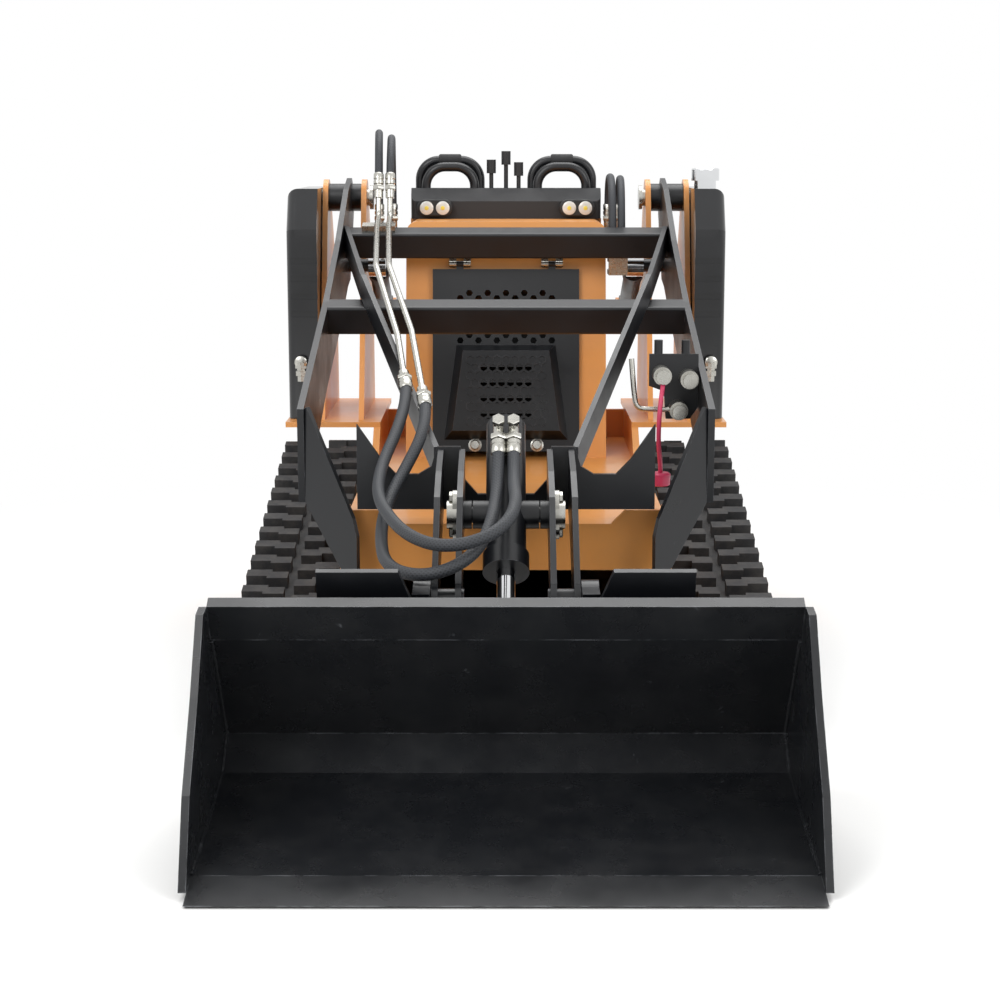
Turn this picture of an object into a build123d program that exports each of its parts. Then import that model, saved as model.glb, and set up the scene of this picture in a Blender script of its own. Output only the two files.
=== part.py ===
"""Compact stand-on tracked loader with a lift arm, a tilt cylinder and a bucket, in millimetres.

The front of the machine points along -Y, +X is its right side seen from the front and +Z is up.
The origin lies on the ground below the middle of the machine.
"""
import os
from math import cos, hypot, radians, sin, tan

from build123d import *

os.makedirs("parts", exist_ok=True)

# Sides of the machine: name, sign of X
SIDES = (("left", -1), ("right", 1))
RUNNING_GAP = 0.3

# Running gear
TRACK_INNER_X = 320.0
TRACK_WIDTH = 180.0
TRACK_REACH = 120.0
LUG_HEIGHT = 22.0
LUG_SINK = 4.0
LUG_COUNT = 35
BELT_THICKNESS = 14.0
IDLER = (-330.0, TRACK_REACH)
REAR_IDLER = (470.0, TRACK_REACH)
SPROCKET = (560.0, 305.0)
BELT_INSIDE = TRACK_REACH - LUG_HEIGHT - BELT_THICKNESS
ROLLER_RADIUS = 42.0
ROLLER_PLACES = (-175.0, -55.0, 65.0, 185.0, 305.0)
WHEEL_INNER_X = 350.0
WHEEL_OUTER_X = 470.0
FRAME_PLATE = 12.0
SPROCKET_HUB = 52.0

# Chassis
CHASSIS_X = 300.0
CHASSIS_PLATE = 15.0
CHASSIS_FRONT = -392.0
REAR_FACE = 892.0
BELLY_Z = 90.0
FENDER_Z = 455.0
FENDER_PLATE = 12.0
CROSSMEMBER_LOW = 327.0
CROSSMEMBER_HIGH = 437.0
TIE_DOWN = (830.0, 160.0)
TIE_DOWN_RADIUS = 20.0

# Towers and arm pivot
PIVOT = (810.0, 965.0)
PIVOT_PIN_RADIUS = 20.0
TOWER_ROUND = 42.0
TOWER_INNER_X = 325.0
TOWER_OUTER_X = 414.0
TOWER_PLATE = 12.0
TOWER_TOP = FENDER_Z + FENDER_PLATE

# Lift arm
ARM_X = 360.0
ARM_PLATE = 12.0
UPPER_TUBE = (595.0, 869.0)
LOWER_TUBE = (124.0, 742.0)
CROSS_TUBE = 58.0
CROSS_TUBE_TURN = 14.0
CROSS_PLATE_Y = -432.0
CROSS_PLATE = 12.0
INNER_PLATES = (72.0, 110.0)
INNER_PLATE = 10.0

# Lift cylinders
LIFT_X = 295.0
LIFT_BASE = (940.0, 700.0)
LIFT_PIN = (679.0, 814.0)
LIFT_PIN_RADIUS = 15.0
LIFT_EYE_RADIUS = 26.0
LIFT_EYE_HALF = 19.5
LIFT_BARREL_RADIUS = 24.0
LIFT_BARREL_LENGTH = 246.0
LIFT_ROD_RADIUS = 15.0
LIFT_ROD_START = 60.0

# Tilt cylinder and bucket hinge
TRUNNION = (-600.0, 467.0)
TRUNNION_RADIUS = 14.0
HINGE = (-762.0, 359.0)
HINGE_PIN_RADIUS = 16.0
HINGE_ROUND = 37.0
ROD_LEVER = 75.0
ROD_LEVER_TURN = -108.0
ROD_PIN = (
    HINGE[0] + ROD_LEVER * cos(radians(ROD_LEVER_TURN)),
    HINGE[1] + ROD_LEVER * sin(radians(ROD_LEVER_TURN)),
)
TILT_BARREL_RADIUS = 34.0
TILT_GLAND_RADIUS = 39.0
TILT_ABOVE = 190.0
TILT_BELOW = 118.0
TILT_GLAND_LENGTH = 34.0
TILT_ROD_RADIUS = 16.0
TILT_EYE_RADIUS = 19.0
TILT_EYE_HALF = 18.0

# Bucket: inside line from the cutting edge to the foot of the rail, as (Y, Z)
BUCKET_HALF = 477.5
BUCKET_WALL = 8.0
BUCKET_SIDE = 12.0
BUCKET_INSIDE = ((-1123.0, 22.0), (-790.0, 73.0), (-729.0, 122.0), (-870.0, 316.0))
BUCKET_LIP = (-1200.0, 4.0)
BUCKET_TOP = (-902.0, 377.0)
RAIL_DEPTH = 22.0
HITCH_FOOT = (-748.0, 180.0)
HITCH_HEAD = (-845.0, 425.0)
HITCH_HALF = 300.0
HITCH_PLATE = 10.0
HITCH_EAR_X = 122.0
HITCH_EAR = 28.0
ROD_EAR_X = 24.0
ROD_EAR = 10.0

# Hood, door and console
HOOD_HALF = 227.0
HOOD_FOOT = (548.0, 388.0)
HOOD_HEAD = (658.0, 914.0)
HOOD_REAR = 880.0
HOOD_WALL = 6.0
HOOD_ROUND = 24.0
DOOR_HALF = 166.0
DOOR_PLATE = 6.0
DOOR_STAND = 6.0
DOOR_HINGE_Z = 818.0
DOOR_DROP = 12.0
DOOR_LENGTH = 426.0
DOOR_HINGE_RADIUS = 7.0
CONSOLE_HALF = 225.0
CONSOLE_FRONT = 850.0
CONSOLE_REAR = 930.0
CONSOLE_TOP = 985.0

# Engine
ENGINE_HALF = 170.0
ENGINE_FRONT = 645.0
ENGINE_REAR = 860.0
ENGINE_LOW = 130.0
ENGINE_HIGH = 720.0

# Side tanks
TANK_INNER_X = 428.0
TANK_OUTER_X = 498.0
TANK_FRONT = 612.0
TANK_REAR = 950.0
TANK_TOP = 988.0
TANK_ROUND = 24.0

# Foot platform
PLATFORM_HINGE = (916.0, 178.0)
PLATFORM_HALF = 250.0
PLATFORM_REAR = 1200.0
PLATFORM_PLATE = 12.0
PLATFORM_FLANGE = 12.0
PLATFORM_PIN_RADIUS = 8.0

# Hoses and steel tubes
HOSE = 21.0
TOP_HOSE = 18.0
STEEL_TUBE = 12.0
FERRULE_RADIUS = 10.0
FERRULE_LENGTH = 30.0


def finish(part, name):
    """Label a finished piece and write its file."""
    part.label = name
    export_step(part, f"parts/{name}.step")


def unit(start, end):
    """Direction from one (Y, Z) point to another."""
    length = hypot(end[0] - start[0], end[1] - start[1])
    return ((end[0] - start[0]) / length, (end[1] - start[1]) / length)


def along(start, direction, distance):
    """The (Y, Z) point at a distance from another."""
    return (start[0] + direction[0] * distance, start[1] + direction[1] * distance)


def bar_plane(x, start, direction):
    """Workplane across a bar that leaves a (Y, Z) point in a direction of the Y-Z plane."""
    return Plane(origin=(x, *start), x_dir=(1, 0, 0), z_dir=(0, *direction))


def disc(x_start, width, place, radius, mode=Mode.ADD):
    """Round boss or bore along X, inside the part being built."""
    with BuildSketch(Plane.YZ.offset(x_start)) as face:
        with Locations(place):
            Circle(radius)
    extrude(face.sketch, amount=width, mode=mode)


def slab(x_start, width, outline, mode=Mode.ADD):
    """Slab along X from an outline of (Y, Z) points, inside the part being built."""
    with BuildSketch(Plane.YZ.offset(x_start)) as face:
        Polygon(*outline, align=None)
    extrude(face.sketch, amount=width, mode=mode)


def front_slab(y_start, depth, outline, mode=Mode.ADD):
    """Slab towards the front from an outline of (X, Z) points, inside the part being built."""
    with BuildSketch(Plane.XZ.offset(-y_start)) as face:
        Polygon(*outline, align=None)
    extrude(face.sketch, amount=depth, mode=mode)


def rod(plane, radius, length, mode=Mode.ADD):
    """Round bar that rises from a workplane, inside the part being built."""
    with BuildSketch(plane) as face:
        Circle(radius)
    extrude(face.sketch, amount=length, mode=mode)


def mirrored(points):
    """A half outline of (X, Z) points, completed about the middle plane."""
    return [*points, *[(-x, z) for x, z in reversed(points) if x]]


def track_face(x_face, reach, mode=Mode.ADD, depth=TRACK_WIDTH):
    """Slab with the outline of a band drawn tight round the three wheels."""
    with BuildSketch(Plane.YZ.offset(x_face)) as face:
        with BuildLine():
            for wheel in (IDLER, REAR_IDLER, SPROCKET):
                CenterArc(wheel, reach, 0, 360)
        make_hull()
    extrude(face.sketch, amount=depth, mode=mode)


def lug_planes(x_middle, phase):
    """Workplanes spaced along the belt, facing outwards."""
    with BuildSketch(Plane.YZ) as loop:
        with BuildLine():
            for wheel in (IDLER, REAR_IDLER, SPROCKET):
                CenterArc(wheel, TRACK_REACH - LUG_HEIGHT, 0, 360)
        make_hull()
    line = loop.sketch.face().outer_wire()
    middle = line.center()
    planes = []
    for step in range(LUG_COUNT):
        share = (step + phase) / LUG_COUNT
        place = line.position_at(share)
        run = line.tangent_at(share)
        normal = Vector(0, -run.Z, run.Y)
        if normal.dot(place - middle) < 0:
            normal = -normal
        origin = Vector(x_middle, place.Y, place.Z) - normal * LUG_SINK
        planes.append(Plane(origin=origin, x_dir=(1, 0, 0), z_dir=normal))
    return planes


# Stepped lug in plan, one half of the belt: distance from the middle groove, distance along the belt
LUG_OUTLINE = ((8, -22), (48, -22), (48, -12), (88, -12), (88, 18), (40, 18), (40, 8), (8, 8))

# Rubber tracks: belt with two staggered columns of lugs
for side, sign in SIDES:
    x_low = TRACK_INNER_X if sign > 0 else -TRACK_INNER_X - TRACK_WIDTH
    x_middle = x_low + TRACK_WIDTH / 2
    with BuildPart() as track:
        track_face(x_low, TRACK_REACH - LUG_HEIGHT)
        for flip, phase in ((1, 0.0), (-1, 0.5)):
            with BuildSketch(*lug_planes(x_middle, phase)):
                Polygon(*[(flip * x, y) for x, y in LUG_OUTLINE], align=None)
            extrude(amount=LUG_HEIGHT + LUG_SINK)
        track_face(x_low, TRACK_REACH, mode=Mode.INTERSECT)
        track_face(x_low, BELT_INSIDE, mode=Mode.SUBTRACT)
    finish(track.part, f"track_{side}")

# Track frames: two plates, a beam between them and two brackets to the chassis
FRAME_OUTLINE = ((-365, 90), (-365, 145), (-315, 165), (400, 300), (470, 240), (520, 160), (500, 90))
BEAM_OUTLINE = ((-200, 140), (-200, 170), (330, 245), (330, 140))
FRAME_BRACKETS = (-210.0, 240.0)
BRACKET_LENGTH = 80.0
with BuildPart() as track_frames:
    for side, sign in SIDES:
        slab(sign * (WHEEL_INNER_X - FRAME_PLATE), sign * FRAME_PLATE, FRAME_OUTLINE)
        slab(sign * WHEEL_OUTER_X, sign * FRAME_PLATE, FRAME_OUTLINE)
        slab(sign * WHEEL_INNER_X, sign * (WHEEL_OUTER_X - WHEEL_INNER_X), BEAM_OUTLINE)
        for y in FRAME_BRACKETS:
            corners = ((y, 110), (y + BRACKET_LENGTH, 110), (y + BRACKET_LENGTH, 200), (y, 200))
            slab(sign * CHASSIS_X, sign * (WHEEL_INNER_X - FRAME_PLATE - CHASSIS_X), corners)
finish(track_frames.part, "track_frames")

# Track wheels: idlers and rollers between the frame plates, toothed sprocket on its motor hub
WHEEL_RADIUS = BELT_INSIDE - RUNNING_GAP
SPROCKET_TEETH = 12
SPROCKET_WIDTH = 60.0
ROLLER_Z = TRACK_REACH - BELT_INSIDE + ROLLER_RADIUS + RUNNING_GAP
for side, sign in SIDES:
    width = sign * (WHEEL_OUTER_X - WHEEL_INNER_X)
    groove = sign * 40.0
    groove_x = sign * (WHEEL_INNER_X + WHEEL_OUTER_X) / 2 - groove / 2
    with BuildPart() as wheels:
        for place, radius in ((IDLER, WHEEL_RADIUS), (REAR_IDLER, WHEEL_RADIUS)):
            disc(sign * WHEEL_INNER_X, width, place, radius)
        for y in ROLLER_PLACES:
            disc(sign * WHEEL_INNER_X, width, (y, ROLLER_Z), ROLLER_RADIUS)
        with BuildSketch(Plane.YZ.offset(groove_x)):
            for place, radius in ((IDLER, WHEEL_RADIUS), (REAR_IDLER, WHEEL_RADIUS)):
                with Locations(place):
                    Circle(radius + 1)
                    Circle(radius - 16, mode=Mode.SUBTRACT)
        extrude(amount=groove, mode=Mode.SUBTRACT)
        disc(sign * CHASSIS_X, sign * 140.0, SPROCKET, SPROCKET_HUB)
        with BuildSketch(Plane.YZ.offset(sign * 380.0)):
            with Locations(SPROCKET):
                Circle(WHEEL_RADIUS - 12)
                with PolarLocations(WHEEL_RADIUS - 12, SPROCKET_TEETH):
                    Rectangle(22, 18)
        extrude(amount=sign * SPROCKET_WIDTH)
    finish(wheels.part, f"track_wheels_{side}")

# Chassis side plates, with a tie-down hole at the rear
SIDE_OUTLINE = (
    (CHASSIS_FRONT, BELLY_Z), (CHASSIS_FRONT, CROSSMEMBER_HIGH), (-330, CROSSMEMBER_HIGH), (-250, 395),
    (480, 395), (560, FENDER_Z), (HOOD_REAR, FENDER_Z), (HOOD_REAR, BELLY_Z),
)
CHASSIS_INSIDE = CHASSIS_X - CHASSIS_PLATE
with BuildPart() as chassis_sides:
    for side, sign in SIDES:
        slab(sign * CHASSIS_INSIDE, sign * CHASSIS_PLATE, SIDE_OUTLINE)
        disc(sign * CHASSIS_INSIDE, sign * CHASSIS_PLATE, TIE_DOWN, TIE_DOWN_RADIUS, Mode.SUBTRACT)
finish(chassis_sides.part, "chassis_sides")

# Front crossmember: stepped face plate with a folded top flange
CROSSMEMBER_FACE = mirrored((
    (0, CROSSMEMBER_LOW), (CHASSIS_INSIDE, CROSSMEMBER_LOW), (CHASSIS_INSIDE, CROSSMEMBER_HIGH),
    (215, CROSSMEMBER_HIGH), (190, 412), (0, 412),
))
CROSSMEMBER_PLATE = 12.0
CROSSMEMBER_DEPTH = 70.0
with BuildPart() as front_crossmember:
    front_slab(CHASSIS_FRONT + CROSSMEMBER_PLATE, CROSSMEMBER_PLATE, CROSSMEMBER_FACE)
    flange_y = CHASSIS_FRONT + CROSSMEMBER_DEPTH
    flange = mirrored(((0, 400), (CHASSIS_INSIDE, 400), (CHASSIS_INSIDE, 412), (0, 412)))
    front_slab(flange_y, CROSSMEMBER_DEPTH - CROSSMEMBER_PLATE, flange)
finish(front_crossmember.part, "front_crossmember")

# Belly pan, and the deck that closes the chassis in front of the hood
PAN_PLATE = 8.0
DECK_Z = 380.0
with BuildPart() as belly_pan:
    with BuildSketch(Plane.XY.offset(BELLY_Z)):
        with Locations((0, (CHASSIS_FRONT + HOOD_REAR) / 2)):
            Rectangle(2 * CHASSIS_INSIDE, HOOD_REAR - CHASSIS_FRONT)
    extrude(amount=PAN_PLATE)
finish(belly_pan.part, "belly_pan")
with BuildPart() as deck:
    deck_front = CHASSIS_FRONT + CROSSMEMBER_PLATE
    with BuildSketch(Plane.XY.offset(DECK_Z)):
        with Locations((0, (deck_front + HOOD_REAR) / 2)):
            Rectangle(2 * CHASSIS_INSIDE, HOOD_REAR - deck_front)
        with Locations((0, (ENGINE_FRONT + ENGINE_REAR) / 2)):
            Rectangle(2 * ENGINE_HALF + 20, ENGINE_REAR - ENGINE_FRONT + 20, mode=Mode.SUBTRACT)
    extrude(amount=PAN_PLATE)
finish(deck.part, "deck")

# Rear panel with the ears that carry the foot platform
PLATFORM_EAR = 10.0
PLATFORM_EAR_GAP = 1.0
EAR_INNER_X = PLATFORM_HALF + PLATFORM_EAR_GAP
with BuildPart() as rear_panel:
    half = CHASSIS_X
    panel = mirrored((
        (0, BELLY_Z), (half, BELLY_Z), (half, FENDER_Z), (HOOD_HALF, FENDER_Z), (HOOD_HALF, HOOD_HEAD[1]),
        (0, HOOD_HEAD[1]),
    ))
    front_slab(REAR_FACE, REAR_FACE - HOOD_REAR, panel)
    for sign in (-1, 1):
        ear = ((REAR_FACE, 150), (PLATFORM_HINGE[0], 164), (PLATFORM_HINGE[0], 192), (REAR_FACE, 206))
        slab(sign * EAR_INNER_X, sign * PLATFORM_EAR, ear)
        disc(sign * EAR_INNER_X, sign * PLATFORM_EAR, PLATFORM_HINGE, 14)
        disc(sign * (EAR_INNER_X - 18), sign * 18, PLATFORM_HINGE, PLATFORM_PIN_RADIUS)
finish(rear_panel.part, "rear_panel")

# Foot platform: tread plate with side flanges that turn on the ears' pins
with BuildPart() as foot_platform:
    y, z = PLATFORM_HINGE
    low = z - PLATFORM_PLATE / 2
    high = low + PLATFORM_PLATE
    tread = ((y + 12, low), (PLATFORM_REAR, low), (PLATFORM_REAR, high), (y + 12, high))
    slab(-PLATFORM_HALF, 2 * PLATFORM_HALF, tread)
    for sign in (-1, 1):
        flange = ((y, z - 16), (PLATFORM_REAR, z - 30), (PLATFORM_REAR, z + 6), (y, z + 16))
        slab(sign * (PLATFORM_HALF - PLATFORM_FLANGE), sign * PLATFORM_FLANGE, flange)
        disc(sign * (PLATFORM_HALF - PLATFORM_FLANGE), sign * PLATFORM_FLANGE, PLATFORM_HINGE, 16)
        hole_x = sign * (PLATFORM_HALF - PLATFORM_FLANGE)
        hole_r = PLATFORM_PIN_RADIUS + RUNNING_GAP
        disc(hole_x, sign * PLATFORM_FLANGE, PLATFORM_HINGE, hole_r, Mode.SUBTRACT)
finish(foot_platform.part, "foot_platform")

# Towers: fender plate with two upright plates and the lower pin of the lift cylinder
TOWER_OUTLINE = ((600, TOWER_TOP), (1000, TOWER_TOP), (985, 735), (851, 975), (769, 975), (650, 600))
FENDER_FRONT = 560.0
FENDER_REAR = 1000.0
FENDER_OUTER_X = 500.0
LIFT_PIN_HEAD = 8.0
for side, sign in SIDES:
    with BuildPart() as tower:
        fender = (
            (FENDER_FRONT, FENDER_Z), (FENDER_REAR, FENDER_Z),
            (FENDER_REAR, TOWER_TOP), (FENDER_FRONT, TOWER_TOP),
        )
        slab(sign * CHASSIS_INSIDE, sign * (FENDER_OUTER_X - CHASSIS_INSIDE), fender)
        for x in (TOWER_INNER_X, TOWER_OUTER_X):
            slab(sign * x, sign * TOWER_PLATE, TOWER_OUTLINE)
            disc(sign * x, sign * TOWER_PLATE, PIVOT, TOWER_ROUND)
            disc(sign * x, sign * TOWER_PLATE, PIVOT, PIVOT_PIN_RADIUS + RUNNING_GAP / 2, Mode.SUBTRACT)
        pin_end = LIFT_X - LIFT_EYE_HALF - 1
        disc(sign * pin_end, sign * (TOWER_INNER_X - pin_end), LIFT_BASE, LIFT_PIN_RADIUS)
        disc(sign * (pin_end - LIFT_PIN_HEAD), sign * LIFT_PIN_HEAD, LIFT_BASE, LIFT_PIN_RADIUS + 6)
    finish(tower.part, f"tower_{side}")

# Arm pivot pins through both tower plates
with BuildPart() as pivot_pins:
    pin_start = TOWER_INNER_X - 6
    pin_length = TOWER_OUTER_X + TOWER_PLATE + 1 - pin_start
    for side, sign in SIDES:
        disc(sign * pin_start, sign * pin_length, PIVOT, PIVOT_PIN_RADIUS)
        disc(sign * (pin_start - 8), sign * 8, PIVOT, PIVOT_PIN_RADIUS + 8)
finish(pivot_pins.part, "pivot_pins")

# Hood: folded shell, open below, behind and at the grille
front_run = unit(HOOD_FOOT, HOOD_HEAD)
with BuildPart() as hood:
    side_view = (HOOD_FOOT, HOOD_HEAD, (HOOD_REAR, HOOD_HEAD[1]), (HOOD_REAR, HOOD_FOOT[1]))
    slab(-HOOD_HALF, 2 * HOOD_HALF, side_view)
    fillet(hood.edges().filter_by(Axis.Y).group_by(Axis.Z)[-1], HOOD_ROUND)
    wall_y = HOOD_WALL / front_run[1]
    roof = HOOD_HEAD[1] - HOOD_WALL
    head_y = HOOD_HEAD[0] - HOOD_WALL * front_run[0] / front_run[1] + wall_y
    inside = (
        (HOOD_FOOT[0] + wall_y, HOOD_FOOT[1]), (head_y, roof), (HOOD_REAR, roof), (HOOD_REAR, HOOD_FOOT[1]),
    )
    slab(-HOOD_HALF + HOOD_WALL, 2 * (HOOD_HALF - HOOD_WALL), inside, Mode.SUBTRACT)
    window_half = DOOR_HALF - 10
    window_top = DOOR_HINGE_Z - 30
    window_foot = HOOD_FOOT[1]
    window = mirrored(
        ((0, window_foot), (window_half, window_foot), (window_half, window_top), (0, window_top))
    )
    front_slab(HOOD_HEAD[0], HOOD_HEAD[0] - HOOD_FOOT[0] + 20, window, Mode.SUBTRACT)
finish(hood.part, "hood")

# Engine: one plain block on four feet
FOOT_SIZE = 50.0
with BuildPart() as engine_block:
    block = (
        (ENGINE_FRONT, ENGINE_LOW), (ENGINE_REAR, ENGINE_LOW),
        (ENGINE_REAR, ENGINE_HIGH), (ENGINE_FRONT, ENGINE_HIGH),
    )
    slab(-ENGINE_HALF, 2 * ENGINE_HALF, block)
    pan_top = BELLY_Z + PAN_PLATE
    with BuildSketch(Plane.XY.offset(pan_top)) as feet:
        with Locations((0, (ENGINE_FRONT + ENGINE_REAR) / 2)):
            with GridLocations(2 * ENGINE_HALF - FOOT_SIZE, ENGINE_REAR - ENGINE_FRONT - FOOT_SIZE, 2, 2):
                Rectangle(FOOT_SIZE, FOOT_SIZE)
    extrude(feet.sketch, amount=ENGINE_LOW - pan_top)
finish(engine_block.part, "engine_block")

# Side tanks: rounded mouldings with ribs round the front half, one with a filler cap
RIB_HEIGHTS = (700.0, 740.0, 780.0, 820.0)
RIB_DEPTH = 5.0
RIB_WIDTH = 14.0
CAP_PLACE = (455.0, 690.0)
CAP_RADIUS = 32.0
NECK_RADIUS = 25.0
NECK_HEIGHT = 18.0
CAP_HEIGHT = 28.0
for name, sign in (("fuel_tank", -1), ("hydraulic_tank", 1)):
    with BuildPart() as tank:
        tank_side = (
            (TANK_FRONT, TOWER_TOP), (TANK_FRONT, TANK_TOP - 90), (TANK_FRONT + 50, TANK_TOP),
            (TANK_REAR, TANK_TOP), (TANK_REAR, TOWER_TOP),
        )
        slab(sign * TANK_INNER_X, sign * (TANK_OUTER_X - TANK_INNER_X), tank_side)
        outer_face = tank.faces().sort_by(Axis.X)[-1 if sign > 0 else 0]
        fillet(outer_face.edges().filter_by(lambda edge: edge.center().Z > TOWER_TOP + 1), TANK_ROUND)
        for z in RIB_HEIGHTS:
            front = TANK_FRONT - 1
            bottom = TANK_FRONT + RIB_DEPTH
            rib = ((front, z), (bottom, z), (bottom, z + RIB_WIDTH), (front, z + RIB_WIDTH))
            slab(sign * (TANK_INNER_X - 1), sign * (TANK_OUTER_X - TANK_INNER_X + 2), rib, Mode.SUBTRACT)
    finish(tank.part, name)
with BuildPart() as filler_cap:
    top = Plane(origin=(*CAP_PLACE, TANK_TOP))
    rod(top, NECK_RADIUS, NECK_HEIGHT + 1)
    rod(top.offset(NECK_HEIGHT), CAP_RADIUS, CAP_HEIGHT)
    fillet(filler_cap.edges().group_by(Axis.Z)[-1], 4)
finish(filler_cap.part, "filler_cap")

# Console across the rear of the hood, with lights, handles and levers
with BuildPart() as console:
    console_side = (
        (CONSOLE_FRONT, HOOD_HEAD[1]), (CONSOLE_FRONT, CONSOLE_TOP - 30), (CONSOLE_FRONT + 25, CONSOLE_TOP),
        (CONSOLE_REAR, CONSOLE_TOP), (CONSOLE_REAR, HOOD_HEAD[1]),
    )
    slab(-CONSOLE_HALF, 2 * CONSOLE_HALF, console_side)
    fillet(console.edges().filter_by(Axis.Z), 12)
finish(console.part, "console")

LIGHT_X = 168.0
LIGHT_Z = 940.0
LIGHT_SIZE = (84.0, 40.0)
LIGHT_DEPTH = 26.0
with BuildPart() as work_lights:
    with BuildSketch(Plane.XZ.offset(-CONSOLE_FRONT)) as lamps:
        with Locations((-LIGHT_X, LIGHT_Z), (LIGHT_X, LIGHT_Z)):
            SlotOverall(*LIGHT_SIZE)
    extrude(lamps.sketch, amount=LIGHT_DEPTH)
    fillet(work_lights.edges().group_by(Axis.Y)[0], 4)
finish(work_lights.part, "work_lights")

# Handle tubes: inner X, outer X, Y place, top Z
HANDLE_TUBE = 11.0
HANDLES = ((62.0, 205.0, 914.0, 1050.0), (75.0, 190.0, 888.0, 1035.0))
HANDLE_BEND = 45.0
with BuildPart() as handles:
    for side, sign in SIDES:
        for inner, outer, y, top in HANDLES:
            bends = ((outer, CONSOLE_TOP), (outer, top), (inner, top), (inner, CONSOLE_TOP))
            corners = [(sign * x, y, z) for x, z in bends]
            with BuildLine() as path:
                FilletPolyline(*corners, radius=HANDLE_BEND)
            with BuildSketch(Plane(origin=path.line @ 0, z_dir=path.line % 0)) as section:
                Circle(HANDLE_TUBE)
            sweep(section.sketch, path=path.line)
finish(handles.part, "handles")

# Control levers: X, Y, height of the paddle's middle
LEVERS = ((-35.0, 890.0, 1036.0), (30.0, 890.0, 1030.0), (0.0, 895.0, 1056.0))
LEVER_RADIUS = 5.0
PADDLE_RADIUS = 11.0
PADDLE_HEIGHT = 32.0
with BuildPart() as control_levers:
    for x, y, height in LEVERS:
        rod(Plane(origin=(x, y, CONSOLE_TOP)), LEVER_RADIUS, height - CONSOLE_TOP)
        rod(Plane(origin=(x, y, height - PADDLE_HEIGHT / 2)), PADDLE_RADIUS, PADDLE_HEIGHT)
finish(control_levers.part, "control_levers")

# Grille door on the hood's front: perforated plate with a raised guard, hung on two hinges
door_out = (-front_run[1], front_run[0])
hinge_share = (DOOR_HINGE_Z - HOOD_FOOT[1]) / (HOOD_HEAD[1] - HOOD_FOOT[1])
hood_at_hinge = (HOOD_FOOT[0] + hinge_share * (HOOD_HEAD[0] - HOOD_FOOT[0]), DOOR_HINGE_Z)
DOOR_BACK = along(hood_at_hinge, door_out, DOOR_STAND)
DOOR_HINGE = along(hood_at_hinge, door_out, DOOR_STAND + DOOR_PLATE / 2)
door_plane = Plane(origin=(0, *DOOR_BACK), x_dir=(1, 0, 0), z_dir=(0, *door_out))
hood_plane = Plane(origin=(0, *hood_at_hinge), x_dir=(1, 0, 0), z_dir=(0, *door_out))
HINGE_X = (80.0, 128.0)
HINGE_SPLIT = 16.0
HINGE_GAP = 0.4
GUARD_TOP = -185.0
GUARD_FOOT = -400.0
GUARD_HALF = (112.0, 140.0)
GUARD_RISE = 48.0
GUARD_WALL = 5.0
PERFORATION = 8.0
PERFORATION_PITCH = 24.0
guard_outline = (
    (-GUARD_HALF[1], GUARD_FOOT), (GUARD_HALF[1], GUARD_FOOT),
    (GUARD_HALF[0], GUARD_TOP), (-GUARD_HALF[0], GUARD_TOP),
)
with BuildPart() as grille_door:
    with BuildSketch(door_plane) as plate:
        with Locations((0, -DOOR_DROP - (DOOR_LENGTH - DOOR_DROP) / 2)):
            Rectangle(2 * DOOR_HALF, DOOR_LENGTH - DOOR_DROP)
        with Locations((0, (GUARD_TOP - 56) / 2)):
            with HexLocations(PERFORATION_PITCH / 2, 11, 5):
                RegularPolygon(PERFORATION, 6, mode=Mode.SUBTRACT)
        Polygon(*[(0.86 * x, y * 0.98 - 4) for x, y in guard_outline], align=None, mode=Mode.SUBTRACT)
    extrude(plate.sketch, amount=DOOR_PLATE)
    for sign in (-1, 1):
        knuckle = sign * (HINGE_X[0] + HINGE_SPLIT + HINGE_GAP)
        disc(knuckle, sign * HINGE_SPLIT, DOOR_HINGE, DOOR_HINGE_RADIUS)
        with BuildSketch(bar_plane(knuckle + sign * HINGE_SPLIT / 2, DOOR_BACK, door_out)) as strap:
            with Locations((0, -DOOR_DROP)):
                Rectangle(HINGE_SPLIT, 2 * DOOR_DROP)
        extrude(strap.sketch, amount=DOOR_PLATE)
        disc(knuckle, sign * HINGE_SPLIT, DOOR_HINGE, 3 + RUNNING_GAP, Mode.SUBTRACT)
finish(grille_door.part, "grille_door")
with BuildPart() as grille_guard:
    with BuildSketch(door_plane.offset(DOOR_PLATE)) as foot:
        Polygon(*guard_outline, align=None)
    extrude(foot.sketch, amount=GUARD_RISE, taper=20)
    with BuildSketch(door_plane.offset(DOOR_PLATE)) as hollow:
        Polygon(*[(0.94 * x, y * 0.97 - 9) for x, y in guard_outline], align=None)
    extrude(hollow.sketch, amount=GUARD_RISE - GUARD_WALL, taper=20, mode=Mode.SUBTRACT)
    for y in (GUARD_TOP - 60, GUARD_TOP - 95, GUARD_TOP - 130, GUARD_TOP - 165):
        with BuildSketch(door_plane.offset(DOOR_PLATE)) as slot:
            with Locations((0, y)):
                SlotOverall(120, 12)
        extrude(slot.sketch, amount=GUARD_RISE + 1, mode=Mode.SUBTRACT)
finish(grille_guard.part, "grille_guard")
with BuildPart() as hood_hinges:
    for sign in (-1, 1):
        for x in (HINGE_X[0], HINGE_X[0] + 2 * (HINGE_SPLIT + HINGE_GAP)):
            disc(sign * x, sign * HINGE_SPLIT, DOOR_HINGE, DOOR_HINGE_RADIUS)
            with BuildSketch(bar_plane(sign * (x + HINGE_SPLIT / 2), hood_at_hinge, door_out)) as strap:
                with Locations((0, DOOR_DROP)):
                    Rectangle(HINGE_SPLIT, 2 * DOOR_DROP)
            extrude(strap.sketch, amount=DOOR_STAND + DOOR_PLATE)
        disc(sign * HINGE_X[0], sign * (3 * HINGE_SPLIT + 2 * HINGE_GAP), DOOR_HINGE, 3)
finish(hood_hinges.part, "hood_hinges")

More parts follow.
